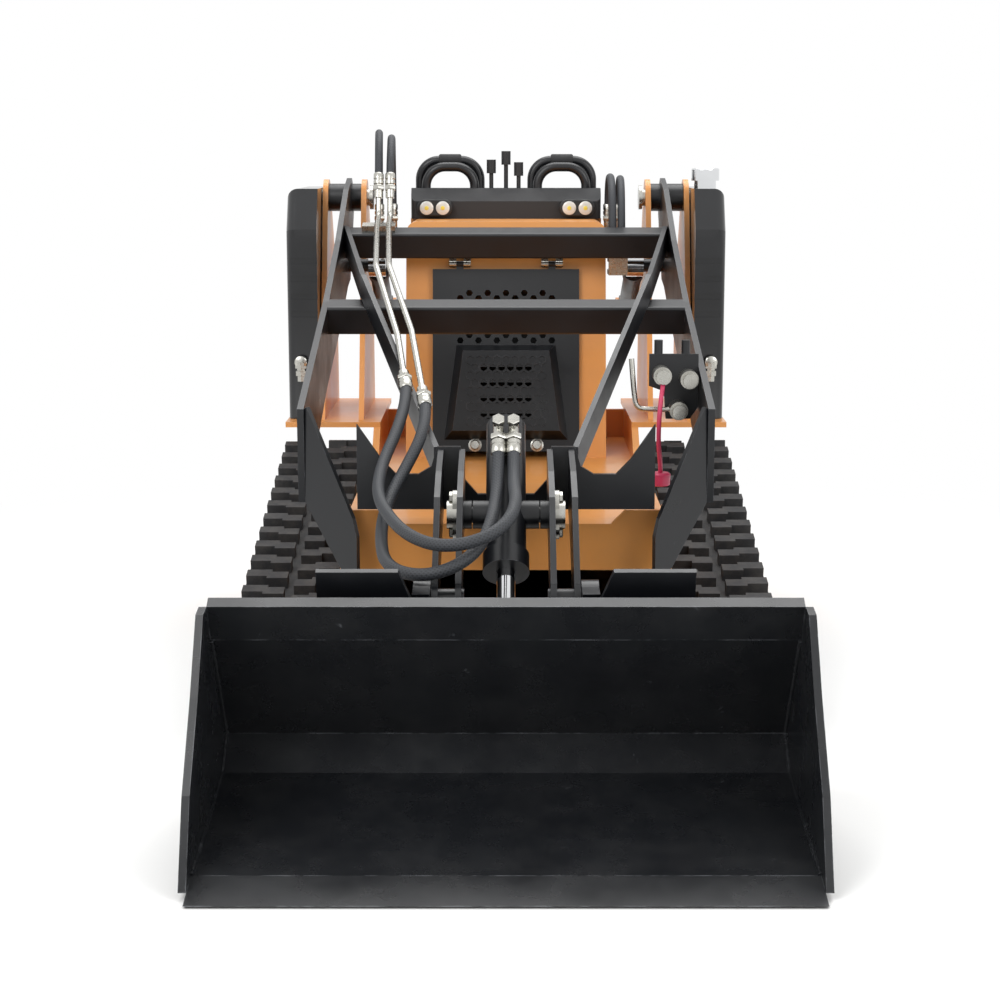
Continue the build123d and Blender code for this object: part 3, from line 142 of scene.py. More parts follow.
@dataclass(frozen=True)
class Finish:
    """A mottled surface with fine grit: colours in sRGB hex, sizes in millimetres."""

    name: str
    colour: str
    second: str
    roughness: float
    spread: float = 0.08
    metallic: float = 0.0
    mottle_mm: float = 90.0
    grit_mm: float = 2.5
    bump_mm: float = 0.05
    coat: float = 0.0
    worn: Optional[str] = None
    worn_share: float = 0.36
    worn_mm: float = 28.0
    edge_mm: float = 0.0
    dust: Optional[str] = None
    dust_share: float = 0.0

    def build(self) -> bpy.types.Material:
        """Build the material of this finish."""
        material, tree, shader = blank_material(self.name)
        place = add_node(tree, "ShaderNodeTexCoord").outputs["Object"]
        mottle = add_node(tree, "ShaderNodeTexNoise", {
            "Vector": place, "Scale": per_mm(self.mottle_mm), "Detail": 5.0, "Roughness": 0.62})
        colour = add_node(tree, "ShaderNodeMix", {
            "Factor": mottle.outputs["Fac"], 6: linear(self.colour), 7: linear(self.second)},
            data_type="RGBA")
        result = colour.outputs[2]
        if self.dust:
            film = add_node(tree, "ShaderNodeTexNoise", {
                "Vector": place, "Scale": per_mm(self.mottle_mm * 0.45), "Detail": 7.0, "Roughness": 0.7})
            amount = add_node(tree, "ShaderNodeMapRange", {
                "Value": film.outputs["Fac"], "From Min": 0.42, "From Max": 0.78, "To Min": 0.0,
                "To Max": self.dust_share})
            result = add_node(tree, "ShaderNodeMix", {
                "Factor": amount.outputs["Result"], 6: result, 7: linear(self.dust)},
                data_type="RGBA").outputs[2]
        if self.worn:
            scuff = add_node(tree, "ShaderNodeTexNoise", {
                "Vector": place, "Scale": per_mm(self.worn_mm), "Detail": 9.0, "Roughness": 0.72,
                "Distortion": 0.6})
            level = scuff.outputs["Fac"]
            if self.edge_mm:
                soft = add_node(tree, "ShaderNodeBevel", {"Radius": self.edge_mm * MM}, samples=4)
                flat = add_node(tree, "ShaderNodeNewGeometry").outputs["True Normal"]
                turn = add_node(tree, "ShaderNodeVectorMath", {0: soft.outputs["Normal"], 1: flat},
                                operation="DOT_PRODUCT")
                edge = add_node(tree, "ShaderNodeMapRange", {
                    "Value": turn.outputs["Value"], "From Min": 0.99, "From Max": 0.86, "To Min": 0.0,
                    "To Max": 0.2})
                level = add_node(tree, "ShaderNodeMath", {0: level, 1: edge.outputs["Result"]},
                                 operation="ADD").outputs["Value"]
            mask = add_node(tree, "ShaderNodeMapRange", {
                "Value": level, "From Min": 0.66, "From Max": 0.76, "To Min": 0.0, "To Max": self.worn_share})
            result = add_node(tree, "ShaderNodeMix", {
                "Factor": mask.outputs["Result"], 6: result, 7: linear(self.worn)},
                data_type="RGBA").outputs[2]
        tree.links.new(result, shader.inputs["Base Color"])
        sheen = add_node(tree, "ShaderNodeMapRange", {
            "Value": mottle.outputs["Fac"], "From Min": 0.3, "From Max": 0.7,
            "To Min": self.roughness - self.spread, "To Max": self.roughness + self.spread})
        tree.links.new(sheen.outputs["Result"], shader.inputs["Roughness"])
        grit = add_node(tree, "ShaderNodeTexNoise", {
            "Vector": place, "Scale": per_mm(self.grit_mm), "Detail": 3.0, "Roughness": 0.5})
        bump = add_node(tree, "ShaderNodeBump", {
            "Height": grit.outputs["Fac"], "Strength": 0.5, "Distance": self.bump_mm * MM})
        tree.links.new(bump.outputs["Normal"], shader.inputs["Normal"])
        shader.inputs["Metallic"].default_value = self.metallic
        shader.inputs["Coat Weight"].default_value = self.coat
        return material


@dataclass(frozen=True)
class BraidFinish:
    """Textile-braided hose cover: crossing yarns that follow the tube's own map."""

    name: str = "braided hose cover"
    colour: str = "#121315"
    # paler colour of the raised yarn crests: a painted highlight on the weave
    second: str = "#33363B"
    yarn_mm: float = 5.0  # drawn about twice as coarse as the real yarn, so that it shows

    def build(self) -> bpy.types.Material:
        """Build the braided material."""
        material, tree, shader = blank_material(self.name)
        plan = add_node(tree, "ShaderNodeTexCoord").outputs["UV"]
        heights = []
        for turn in (45.0, -45.0):
            slant = add_node(tree, "ShaderNodeMapping", {
                "Vector": plan, "Rotation": (0.0, 0.0, math.radians(turn))})
            wave = add_node(tree, "ShaderNodeTexWave", {
                "Vector": slant.outputs["Vector"], "Scale": per_mm(self.yarn_mm) * WAVE_UNIT},
                bands_direction="X")
            heights.append(wave.outputs["Fac"])
        weave = add_node(tree, "ShaderNodeMath", {0: heights[0], 1: heights[1]}, operation="MAXIMUM")
        # Colour follows the weave's height: the yarn crests are painted paler as a painted highlight, and the
        # gaps between the yarns darker as painted shade
        colour = add_node(tree, "ShaderNodeMix", {
            "Factor": weave.outputs["Value"], 6: linear(self.colour), 7: linear(self.second)},
            data_type="RGBA")
        bump = add_node(tree, "ShaderNodeBump", {
            "Height": weave.outputs["Value"], "Strength": 0.7, "Distance": 0.5 * MM})
        tree.links.new(colour.outputs[2], shader.inputs["Base Color"])
        tree.links.new(bump.outputs["Normal"], shader.inputs["Normal"])
        shader.inputs["Roughness"].default_value = 0.58
        return material


class Look(Enum):
    """The finishes of the loader, each named for the real material."""

    # Baked orange enamel on folded plate: satin, with faint orange peel and paler worn edges
    ORANGE = Finish("orange enamel", "#E6A058", "#DC9148", 0.36, worn="#E8B98A", worn_share=0.5, edge_mm=2.5,
                    coat=0.15, mottle_mm=220.0, grit_mm=3.0, bump_mm=0.04, dust="#B98A62", dust_share=0.25)
    # Black chassis paint on steel: satin, blue-black, grey where it is rubbed
    BLACK = Finish("black chassis paint", "#0E0F12", "#16181C", 0.34, worn="#6B6E73", worn_share=0.45,
                   edge_mm=2.0, mottle_mm=140.0, grit_mm=2.5, bump_mm=0.05)
    # The same paint inside the bucket, where it is scraped by the load
    BUCKET = Finish("scraped bucket paint", "#121316", "#1C1E21", 0.27, worn="#7D8085", worn_share=0.55,
                    edge_mm=3.0, worn_mm=60.0, mottle_mm=180.0, grit_mm=3.0, bump_mm=0.08, dust="#3A3A3A",
                    dust_share=0.3)
    # Blow-moulded polyethylene tank: smooth and glossy with slow waves
    TANK = Finish("moulded tank plastic", "#111214", "#191A1D", 0.16, spread=0.05, mottle_mm=120.0,
                  grit_mm=40.0, bump_mm=0.25, coat=0.3)
    # Zinc-plated steel fittings: bright, slightly blotched
    ZINC = Finish("zinc plated steel", "#C9C8C2", "#A9A79F", 0.28, metallic=1.0, mottle_mm=14.0, grit_mm=1.2,
                  bump_mm=0.02)
    # Track wheels: bare steel rubbed by soil
    STEEL = Finish("rubbed steel", "#6F6C68", "#3E3C3A", 0.42, metallic=0.9, mottle_mm=35.0, grit_mm=2.0,
                   bump_mm=0.06, worn="#9A9894", worn_share=0.5)
    # Hard chrome on piston rods and the filler cap
    CHROME = Finish("hard chrome", "#E4E5E6", "#D6D8DA", 0.09, spread=0.03, metallic=1.0, mottle_mm=60.0,
                    grit_mm=0.8, bump_mm=0.005)
    # Carbon-black rubber of the tracks, dull and slightly dusty
    TREAD = Finish("track rubber", "#1D1D1F", "#262628", 0.72, mottle_mm=60.0, grit_mm=1.8, bump_mm=0.12,
                   dust="#6A645C", dust_share=0.28)
    # Matt moulded plastic of console, lights and levers
    PLASTIC = Finish("matt moulded plastic", "#17181A", "#202124", 0.55, mottle_mm=40.0, grit_mm=1.0,
                     bump_mm=0.05)
    # Soft foam rubber of the hand grips
    GRIP = Finish("grip rubber", "#151516", "#1E1E20", 0.7, mottle_mm=30.0, grit_mm=1.4, bump_mm=0.1)
    # Pink-red moulded rubber of the dust caps and their tethers
    RED = Finish("red cap rubber", "#D23F66", "#C2365B", 0.45, mottle_mm=20.0, grit_mm=1.5, bump_mm=0.03)
    # Cast engine block, seen only through the grille
    IRON = Finish("engine iron", "#2B2C2E", "#1C1D1E", 0.7, mottle_mm=50.0, grit_mm=2.5, bump_mm=0.2)
    # Lamp lens: pale polycarbonate with a bright reflector behind it
    LENS = Finish("lamp lens", "#E9EBE6", "#C9CDCB", 0.12, mottle_mm=12.0, grit_mm=4.0, bump_mm=0.15,
                  coat=0.6)
    # Light-emitting chip under its phosphor
    CHIP = Finish("lamp chip", "#F2E36A", "#E8D24C", 0.35, mottle_mm=4.0, grit_mm=1.0, bump_mm=0.02)
    # Braided cover of the hoses
    BRAID = BraidFinish()


class Palette:
    """Builds each finish once and hands it out."""

    def __init__(self) -> None:
        """Start with no material built."""
        self._made: dict[Look, bpy.types.Material] = {}

    def of(self, look: Look) -> bpy.types.Material:
        """Hand out the material of a look, built at its first use.

        Args:
            look: the finish.

        Returns:
            Its material.
        """
        if look not in self._made:
            self._made[look] = look.value.build()
        return self._made[look]

    def dress(self, piece: bpy.types.Object, look: Look) -> None:
        """Give a piece one material all over.

        Args:
            piece: mesh object.
            look: the finish.
        """
        piece.data.materials.clear()
        piece.data.materials.append(self.of(look))
        for polygon in getattr(piece.data, "polygons", ()):
            polygon.material_index = 0

    def patch(self, piece: bpy.types.Object, look: Look, inside: Callable[[Vector], bool]) -> None:
        """Give some faces of a piece a second finish.

        Args:
            piece: mesh object that already has its first finish.
            look: the second finish.
            inside: test of a face's centre in millimetres.
        """
        piece.data.materials.append(self.of(look))
        index = len(piece.data.materials) - 1
        for polygon in piece.data.polygons:
            if inside(polygon.center / MM):
                polygon.material_index = index


class Bench:
    """Modelling steps that are shared by all pieces."""

    @staticmethod
    def clear() -> None:
        """Leave edit mode and deselect everything."""
        if bpy.context.object and bpy.context.object.mode != "OBJECT":
            bpy.ops.object.mode_set(mode="OBJECT")
        bpy.ops.object.select_all(action="DESELECT")

    @staticmethod
    def modify(piece: bpy.types.Object, kind: str, **settings: Any) -> None:
        """Add a modifier to a piece and apply it.

        Args:
            piece: mesh object.
            kind: the modifier's type.
            settings: properties of the modifier.
        """
        Bench.clear()
        piece.select_set(True)
        bpy.context.view_layer.objects.active = piece
        modifier = piece.modifiers.new(kind.lower(), kind)
        for key, value in settings.items():
            setattr(modifier, key, value)
        bpy.ops.object.modifier_apply(modifier=modifier.name)

    @staticmethod
    def turned(name: str, rings: Sequence[tuple[float, float]], sides: int = 32) -> bpy.types.Object:
        """Model a turned piece along Z: a cylinder whose end face is extruded and scaled ring by ring.

        Args:
            name: name of the object.
            rings: height and radius of each ring in millimetres, from the foot up.
            sides: number of sides.

        Returns:
            The new object, closed at both ends.
        """
        Bench.clear()
        (foot, foot_radius), (head, head_radius) = rings[0], rings[1]
        bpy.ops.mesh.primitive_cone_add(
            vertices=sides, radius1=foot_radius * MM, radius2=head_radius * MM, depth=(head - foot) * MM,
            location=(0, 0, (head + foot) / 2 * MM))
        piece = bpy.context.object
        bpy.ops.object.transform_apply(location=True)
        piece.name = name
        height, radius = head, head_radius
        for next_height, next_radius in rings[2:]:
            Bench.clear()
            piece.select_set(True)
            bpy.context.view_layer.objects.active = piece
            bpy.ops.object.mode_set(mode="EDIT")
            bpy.ops.mesh.select_mode(type="FACE")
            bpy.ops.mesh.select_all(action="DESELECT")
            bpy.ops.object.mode_set(mode="OBJECT")
            for polygon in piece.data.polygons:
                polygon.select = polygon.normal.z > 0.99 and polygon.center.z > (height - 0.01) * MM
            bpy.ops.object.mode_set(mode="EDIT")
            bpy.ops.mesh.extrude_region_move(
                TRANSFORM_OT_translate={"value": (0, 0, (next_height - height) * MM)})
            scale = next_radius / radius
            bpy.ops.transform.resize(value=(scale, scale, 1.0), center_override=(0, 0, next_height * MM))
            bpy.ops.object.mode_set(mode="OBJECT")
            height, radius = next_height, next_radius
        bpy.ops.object.shade_smooth_by_angle(angle=math.radians(35))
        return piece

    @staticmethod
    def aim(place: Point, axis: Point) -> Matrix:
        """Put a piece that is modelled along Z at a place, along an axis.

        Args:
            place: where the piece's origin goes, in millimetres.
            axis: direction of the piece's Z axis.

        Returns:
            The matrix of that place.
        """
        turn = Vector(axis).normalized().to_track_quat("Z", "Y").to_matrix().to_4x4()
        return Matrix.Translation(Vector(place) * MM) @ turn

    @staticmethod
    def scatter(name: str, model: bpy.types.Object, spots: Iterable[Matrix]) -> bpy.types.Object:
        """Copy a model to several places, join the copies into one piece and delete the model.

        Args:
            name: name of the joined piece.
            model: piece modelled at the origin.
            spots: a matrix for each copy.

        Returns:
            The joined piece.
        """
        copies = []
        for spot in spots:
            copy = model.copy()
            copy.data = model.data.copy()
            copy.data.transform(spot)
            bpy.context.scene.collection.objects.link(copy)
            copies.append(copy)
        bpy.data.objects.remove(model)
        return Bench.join(name, copies)

    @staticmethod
    def join(name: str, pieces: Sequence[bpy.types.Object]) -> bpy.types.Object:
        """Join pieces into one.

        Args:
            name: name of the joined piece.
            pieces: mesh objects.

        Returns:
            The joined piece.
        """
        Bench.clear()
        for piece in pieces:
            piece.select_set(True)
        bpy.context.view_layer.objects.active = pieces[0]
        if len(pieces) > 1:
            bpy.ops.object.join()
        pieces[0].name = name
        return pieces[0]

    @staticmethod
    def spline(name: str, points: Sequence[Point]) -> bpy.types.Object:
        """NURBS curve with no bevel through the control points of a route.

        Args:
            name: name of the curve object.
            points: control points in millimetres.

        Returns:
            The curve object.
        """
        data = bpy.data.curves.new(name, "CURVE")
        data.dimensions = "3D"
        line = data.splines.new("NURBS")
        line.points.add(len(points) - 1)
        for knot, point in zip(line.points, points):
            knot.co = (*[v * MM for v in point], 1.0)
        line.order_u = 3
        line.use_endpoint_u = True
        line.resolution_u = 8
        curve = bpy.data.objects.new(name, data)
        bpy.context.scene.collection.objects.link(curve)
        return curve

    @staticmethod
    def line_of(curve: bpy.types.Object) -> list[Vector]:
        """Read the points along a curve with no bevel, and delete the curve.

        Args:
            curve: the curve object.

        Returns:
            Points in metres, in order.
        """
        bpy.context.view_layer.update()
        graph = bpy.context.evaluated_depsgraph_get()
        mesh = bpy.data.meshes.new_from_object(curve.evaluated_get(graph))
        points = [vertex.co.copy() for vertex in mesh.vertices]
        bpy.data.meshes.remove(mesh)
        bpy.data.objects.remove(curve)
        return points

    @staticmethod
    def sleeve(
        name: str, line: Sequence[Vector], radii_mm: Sequence[float], sides: int = 16
    ) -> bpy.types.Object:
        """Closed mesh tube along a line, with a map in metres round and along it.

        Args:
            name: name of the object.
            line: points of the centreline in metres.
            radii_mm: radius at each point.
            sides: number of sides.

        Returns:
            The tube.
        """
        runs = [(after - before).normalized() for before, after in zip(line, line[1:])]
        heads = [runs[0], *[(a + b).normalized() for a, b in zip(runs, runs[1:])], runs[-1]]
        side = heads[0].orthogonal().normalized()
        vertices, faces, marks = [], [], []
        walked = 0.0
        for index, (point, head, radius) in enumerate(zip(line, heads, radii_mm)):
            side = (side - head * side.dot(head)).normalized()
            across = head.cross(side)
            if index:
                walked += (point - line[index - 1]).length
            for step in range(sides):
                angle = 2 * math.pi * step / sides
                vertices.append(point + (side * math.cos(angle) + across * math.sin(angle)) * radius * MM)
            if index:
                low, high = (index - 1) * sides, index * sides
                before = walked - (point - line[index - 1]).length
                for step in range(sides):
                    after = (step + 1) % sides
                    faces.append((low + step, low + after, high + after, high + step))
                    left = 2 * math.pi * radius * MM * step / sides
                    right = 2 * math.pi * radius * MM * (step + 1) / sides
                    marks.append(((left, before), (right, before), (right, walked), (left, walked)))
        last = (len(line) - 1) * sides
        faces.append(tuple(reversed(range(sides))))
        faces.append(tuple(range(last, last + sides)))
        marks += [tuple((0.0, 0.0) for _ in range(sides))] * 2
        mesh = bpy.data.meshes.new(name)
        mesh.from_pydata(vertices, [], faces)
        layer = mesh.uv_layers.new(name="UVMap")
        flat = [mark for face in marks for mark in face]
        for loop, mark in zip(layer.data, flat):
            loop.uv = mark
        piece = bpy.data.objects.new(name, mesh)
        bpy.context.scene.collection.objects.link(piece)
        Bench.clear()
        piece.select_set(True)
        bpy.context.view_layer.objects.active = piece
        bpy.ops.object.shade_smooth_by_angle(angle=math.radians(40))
        return piece


@dataclass
class Hose:
    """A braided hose: route of control points in millimetres, and the bodies at its two ends."""

    node: str
    diameter_mm: float
    length_mm: float
    first: str
    second: str
    blend_start: Point
    blend_end: Point
    route: Sequence[Point]

    def build(self, palette: Palette) -> bpy.types.Object:
        """Args:
            palette: the finishes.

        Returns:
            The hose.
        """
        line = Bench.line_of(Bench.spline(f"{self.node}_line", self.route))
        piece = Bench.sleeve(f"{self.node}_cover", line, [self.diameter_mm / 2] * len(line))
        palette.dress(piece, Look.BRAID)
        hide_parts(self.node)
        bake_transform(piece)
        return piece


@dataclass
class HoseSet:
    """All free hoses of the loader."""

    tilt_mm: float = 21.0
    top_mm: float = 18.0

    def hoses(self) -> list[Hose]:
        """The hoses with their routes."""
        across = ((-145.0, 0.0, 0.0), (-5.0, 0.0, 0.0))
        back = ((0.0, 665.0, 0.0), (0.0, 850.0, 0.0))
        return [
            Hose("tilt_hose_a", self.tilt_mm, 973, "arm", "tilt_barrel", *across, (
                (-186.0, -267.1, 654.7), (-180.4, -306.8, 635.2), (-193, -395, 584), (-218, -480, 533),
                (-221, -568, 497), (-197, -650, 474), (-163, -728, 458), (-119, -784, 451), (-73, -806, 455),
                (-24, -798, 469), (7, -762, 489), (17, -712, 510), (13, -645, 523), (13, -587.0, 551.7),
                (13, -552.9, 584.7))),
            Hose("tilt_hose_b", self.tilt_mm, 946, "arm", "tilt_barrel", *across, (
                (-148.9, -327.0, 631.5), (-143.0, -366.5, 611.8), (-150, -426, 573), (-177, -477, 525),
                (-199, -530, 489), (-210, -591, 458), (-209, -656, 430), (-199, -725, 411), (-168, -781, 404),
                (-123, -807, 406), (-74, -802, 422), (-41, -771, 446), (-24, -724, 476), (-16, -655, 505),
                (-13, -587.0, 551.7), (-13, -552.9, 584.7))),
            Hose("top_hose_left_a", self.top_mm, 413, "arm", "chassis", *back, (
                (-288, 642.5, 997.3), (-288, 655.0, 1040.0), (-289, 682, 1086), (-291, 726, 1114),
                (-294, 775, 1111), (-297, 817, 1082), (-299, 844, 1035), (-300, 855, 976),
                (-300, 855, 922.5))),
            Hose("top_hose_left_b", self.top_mm, 392, "arm", "chassis", *back, (
                (-262, 642.5, 997.3), (-262, 655.0, 1040.0), (-262, 686, 1078), (-263, 729, 1103),
                (-265, 776, 1099), (-267, 816, 1070), (-268, 843, 1026), (-268, 855, 973),
                (-268, 855, 922.5))),
            Hose("top_hose_right_a", self.top_mm, 377, "arm", "chassis", *back, (
                (243, 654, 836.5), (243, 654, 880), (243, 668, 935), (243, 700, 982), (243, 745, 1010),
                (242, 794, 1014), (242, 834, 996), (242, 855, 960), (242, 855, 922.5))),
            Hose("top_hose_right_b", self.top_mm, 370, "arm", "chassis", *back, (
                (263, 654, 836.5), (263, 654, 880), (263, 669, 933), (264, 702, 979), (265, 746, 1006),
                (266, 794, 1010), (267, 833, 993), (268, 855, 959), (268, 855, 922.5))),
        ]

    def build(self, palette: Palette) -> None:
        """Build every hose."""
        for hose in self.hoses():
            piece = hose.build(palette)
            LOG.info("hose %s", piece.name)


@dataclass
class Studio:
    """Floor, light and camera. Lengths in metres."""

    camera_place: Point = (0.0, -3.922, 1.078)
    camera_pitch: float = 10.0
    lens_mm: float = 71.76
    shift_x: float = -0.006
    floor_colour: str = "#FAFAF9"
    white_from: float = 1.4
    white_beyond: float = 2.6
    lamp_target: Point = (0.0, 0.0, 0.5)
    surround: float = 0.62

    def build_floor(self) -> None:
        """Add a wide pale floor that takes the shadow near the object and is plain white far from it."""
        Bench.clear()
        bpy.ops.mesh.primitive_plane_add(size=40.0, location=(0.0, 0.0, 0.0))
        floor = bpy.context.object
        floor.name = "studio_floor"
        material, tree, shader = blank_material("studio floor")
        shader.inputs["Base Color"].default_value = linear(self.floor_colour)
        shader.inputs["Roughness"].default_value = 0.9
        shader.inputs["Specular IOR Level"].default_value = 0.1
        place = add_node(tree, "ShaderNodeTexCoord").outputs["Object"]
        reach = add_node(tree, "ShaderNodeVectorMath", {0: place}, operation="LENGTH")
        far = add_node(tree, "ShaderNodeMapRange", {
            "Value": reach.outputs["Value"], "From Min": self.white_from, "From Max": self.white_beyond},
            interpolation_type="SMOOTHSTEP")
        seen = add_node(tree, "ShaderNodeLightPath").outputs["Is Camera Ray"]
        share = add_node(tree, "ShaderNodeMath", {0: far.outputs["Result"], 1: seen}, operation="MULTIPLY")
        glow = add_node(tree, "ShaderNodeEmission", {"Color": (1.0, 1.0, 1.0, 1.0), "Strength": 1.0})
        mix = add_node(tree, "ShaderNodeMixShader", {
            0: share.outputs["Value"], 1: shader.outputs["BSDF"], 2: glow.outputs["Emission"]})
        tree.links.new(mix.outputs["Shader"], tree.nodes["Material Output"].inputs["Surface"])
        floor.data.materials.append(material)

    def build_world(self) -> None:
        """Soft surrounding light, white where the camera, gloss and glass look at it."""
        world = bpy.data.worlds.new("studio surround")
        bpy.context.scene.world = world
        world.use_nodes = True
        tree = world.node_tree
        tree.nodes.clear()
        path = add_node(tree, "ShaderNodeLightPath")
        seen = path.outputs["Is Camera Ray"]
        for name in ("Is Glossy Ray", "Is Transmission Ray"):
            seen = add_node(tree, "ShaderNodeMath", {0: seen, 1: path.outputs[name]},
                            operation="MAXIMUM").outputs["Value"]
        strength = add_node(tree, "ShaderNodeMapRange", {
            "Value": seen, "To Min": self.surround, "To Max": 1.0})
        background = add_node(tree, "ShaderNodeBackground", {
            "Color": (1.0, 1.0, 1.0, 1.0), "Strength": strength.outputs["Result"]})
        add_node(tree, "ShaderNodeOutputWorld", {"Surface": background.outputs["Background"]})

    def build_lamps(self) -> None:
        """Three large soft lamps: name, place, size and power."""
        lamps = (
            ("key_lamp", (-2.6, -3.4, 3.6), 2.6, 120.0),
            ("fill_lamp", (3.2, -2.8, 2.6), 2.6, 60.0),
            ("top_lamp", (0.3, 1.4, 4.2), 3.2, 110.0),
        )
        for name, place, size, power in lamps:
            light = bpy.data.lights.new(name, "AREA")
            light.energy = power
            light.size = size
            lamp = bpy.data.objects.new(name, light)
            lamp.location = place
            towards = Vector(self.lamp_target) - Vector(place)
            lamp.rotation_euler = towards.to_track_quat("-Z", "Y").to_euler()
            bpy.context.scene.collection.objects.link(lamp)

    def build_camera(self) -> None:
        """Camera at the photograph's place and angle."""
        data = bpy.data.cameras.new("studio_camera")
        data.lens = self.lens_mm
        data.sensor_width = 36.0
        data.shift_x = self.shift_x
        data.clip_end = 100.0
        camera = bpy.data.objects.new("studio_camera", data)
        camera.location = self.camera_place
        camera.rotation_euler = (math.radians(90.0 - self.camera_pitch), 0.0, 0.0)
        bpy.context.scene.collection.objects.link(camera)
        bpy.context.scene.camera = camera

    def build(self) -> None:
        """Build floor, world, lamps and camera."""
        bpy.context.scene.view_settings.view_transform = "Standard"
        self.build_floor()
        self.build_world()
        self.build_lamps()
        self.build_camera()


class Coats:
    """Gives every CAD node that stays in view its finish."""

    LOOKS: dict[Look, tuple[str, ...]] = {
        Look.ORANGE: (
            "chassis_sides", "front_crossmember", "deck", "rear_panel", "tower_left", "tower_right", "hood"),
        Look.BLACK: (
            "arm_plate_left", "arm_plate_right", "cross_tubes", "arm_legs", "cross_plate", "braces",
            "inner_plates", "lift_barrel_left", "lift_barrel_right", "tilt_barrel", "hitch_plate",
            "grille_door", "grille_guard", "track_frames", "belly_pan", "foot_platform",
            "handles", "hose_shelves", "hose_bracket",
            "coupler_bracket"),
        Look.BUCKET: ("bucket_shell", "bucket_rail", "bucket_sides", "cutting_edge"),
        Look.TANK: ("fuel_tank", "hydraulic_tank"),
        Look.ZINC: ("steel_tubes", "tube_clamp", "couplers", "pivot_pins", "hood_hinges"),
        Look.STEEL: ("track_wheels_left", "track_wheels_right"),
        Look.CHROME: ("lift_rod_left", "lift_rod_right", "tilt_rod", "filler_cap"),
        Look.TREAD: ("track_left", "track_right"),
        Look.PLASTIC: ("console", "work_lights", "control_levers"),
        Look.IRON: ("engine_block",),
    }

    def apply(self, nodes: dict[str, bpy.types.Object], palette: Palette) -> None:
        """Dress the nodes.

        Args:
            nodes: the loaded CAD nodes by name.
            palette: the finishes.
        """
        for look, names in self.LOOKS.items():
            for name in names:
                palette.dress(nodes[name], look)
        self.plate_fittings(nodes, palette)

    @staticmethod
    def plate_fittings(nodes: dict[str, bpy.types.Object], palette: Palette) -> None:
        """Give bearings, ports and ferrules their zinc plating, on the black pieces that carry them.

        Args:
            nodes: the loaded CAD nodes by name.
            palette: the finishes.
        """
        shelf_top, bracket_shelf = 893.0, 807.0
        bearing_inner, bearing_outer, bearing_reach, barrel_reach = 82.5, 101.0, 46.0, 40.0
        trunnion = Vector((0.0, *TRUNNION))
        face = Vector((0.0, *TILT_FACE))

        def on_bearing(centre: Vector) -> bool:
            from_pin = Vector((0.0, centre.y, centre.z)) - trunnion
            return bearing_inner < abs(centre.x) < bearing_outer and from_pin.length < bearing_reach

        palette.patch(nodes["inner_plates"], Look.ZINC, on_bearing)
        palette.patch(nodes["tilt_barrel"], Look.ZINC, lambda c: (c - trunnion).dot(face) > barrel_reach)
        palette.patch(nodes["hose_shelves"], Look.ZINC, lambda c: c.z > shelf_top)
        palette.patch(nodes["hose_bracket"], Look.ZINC, lambda c: c.z > bracket_shelf)


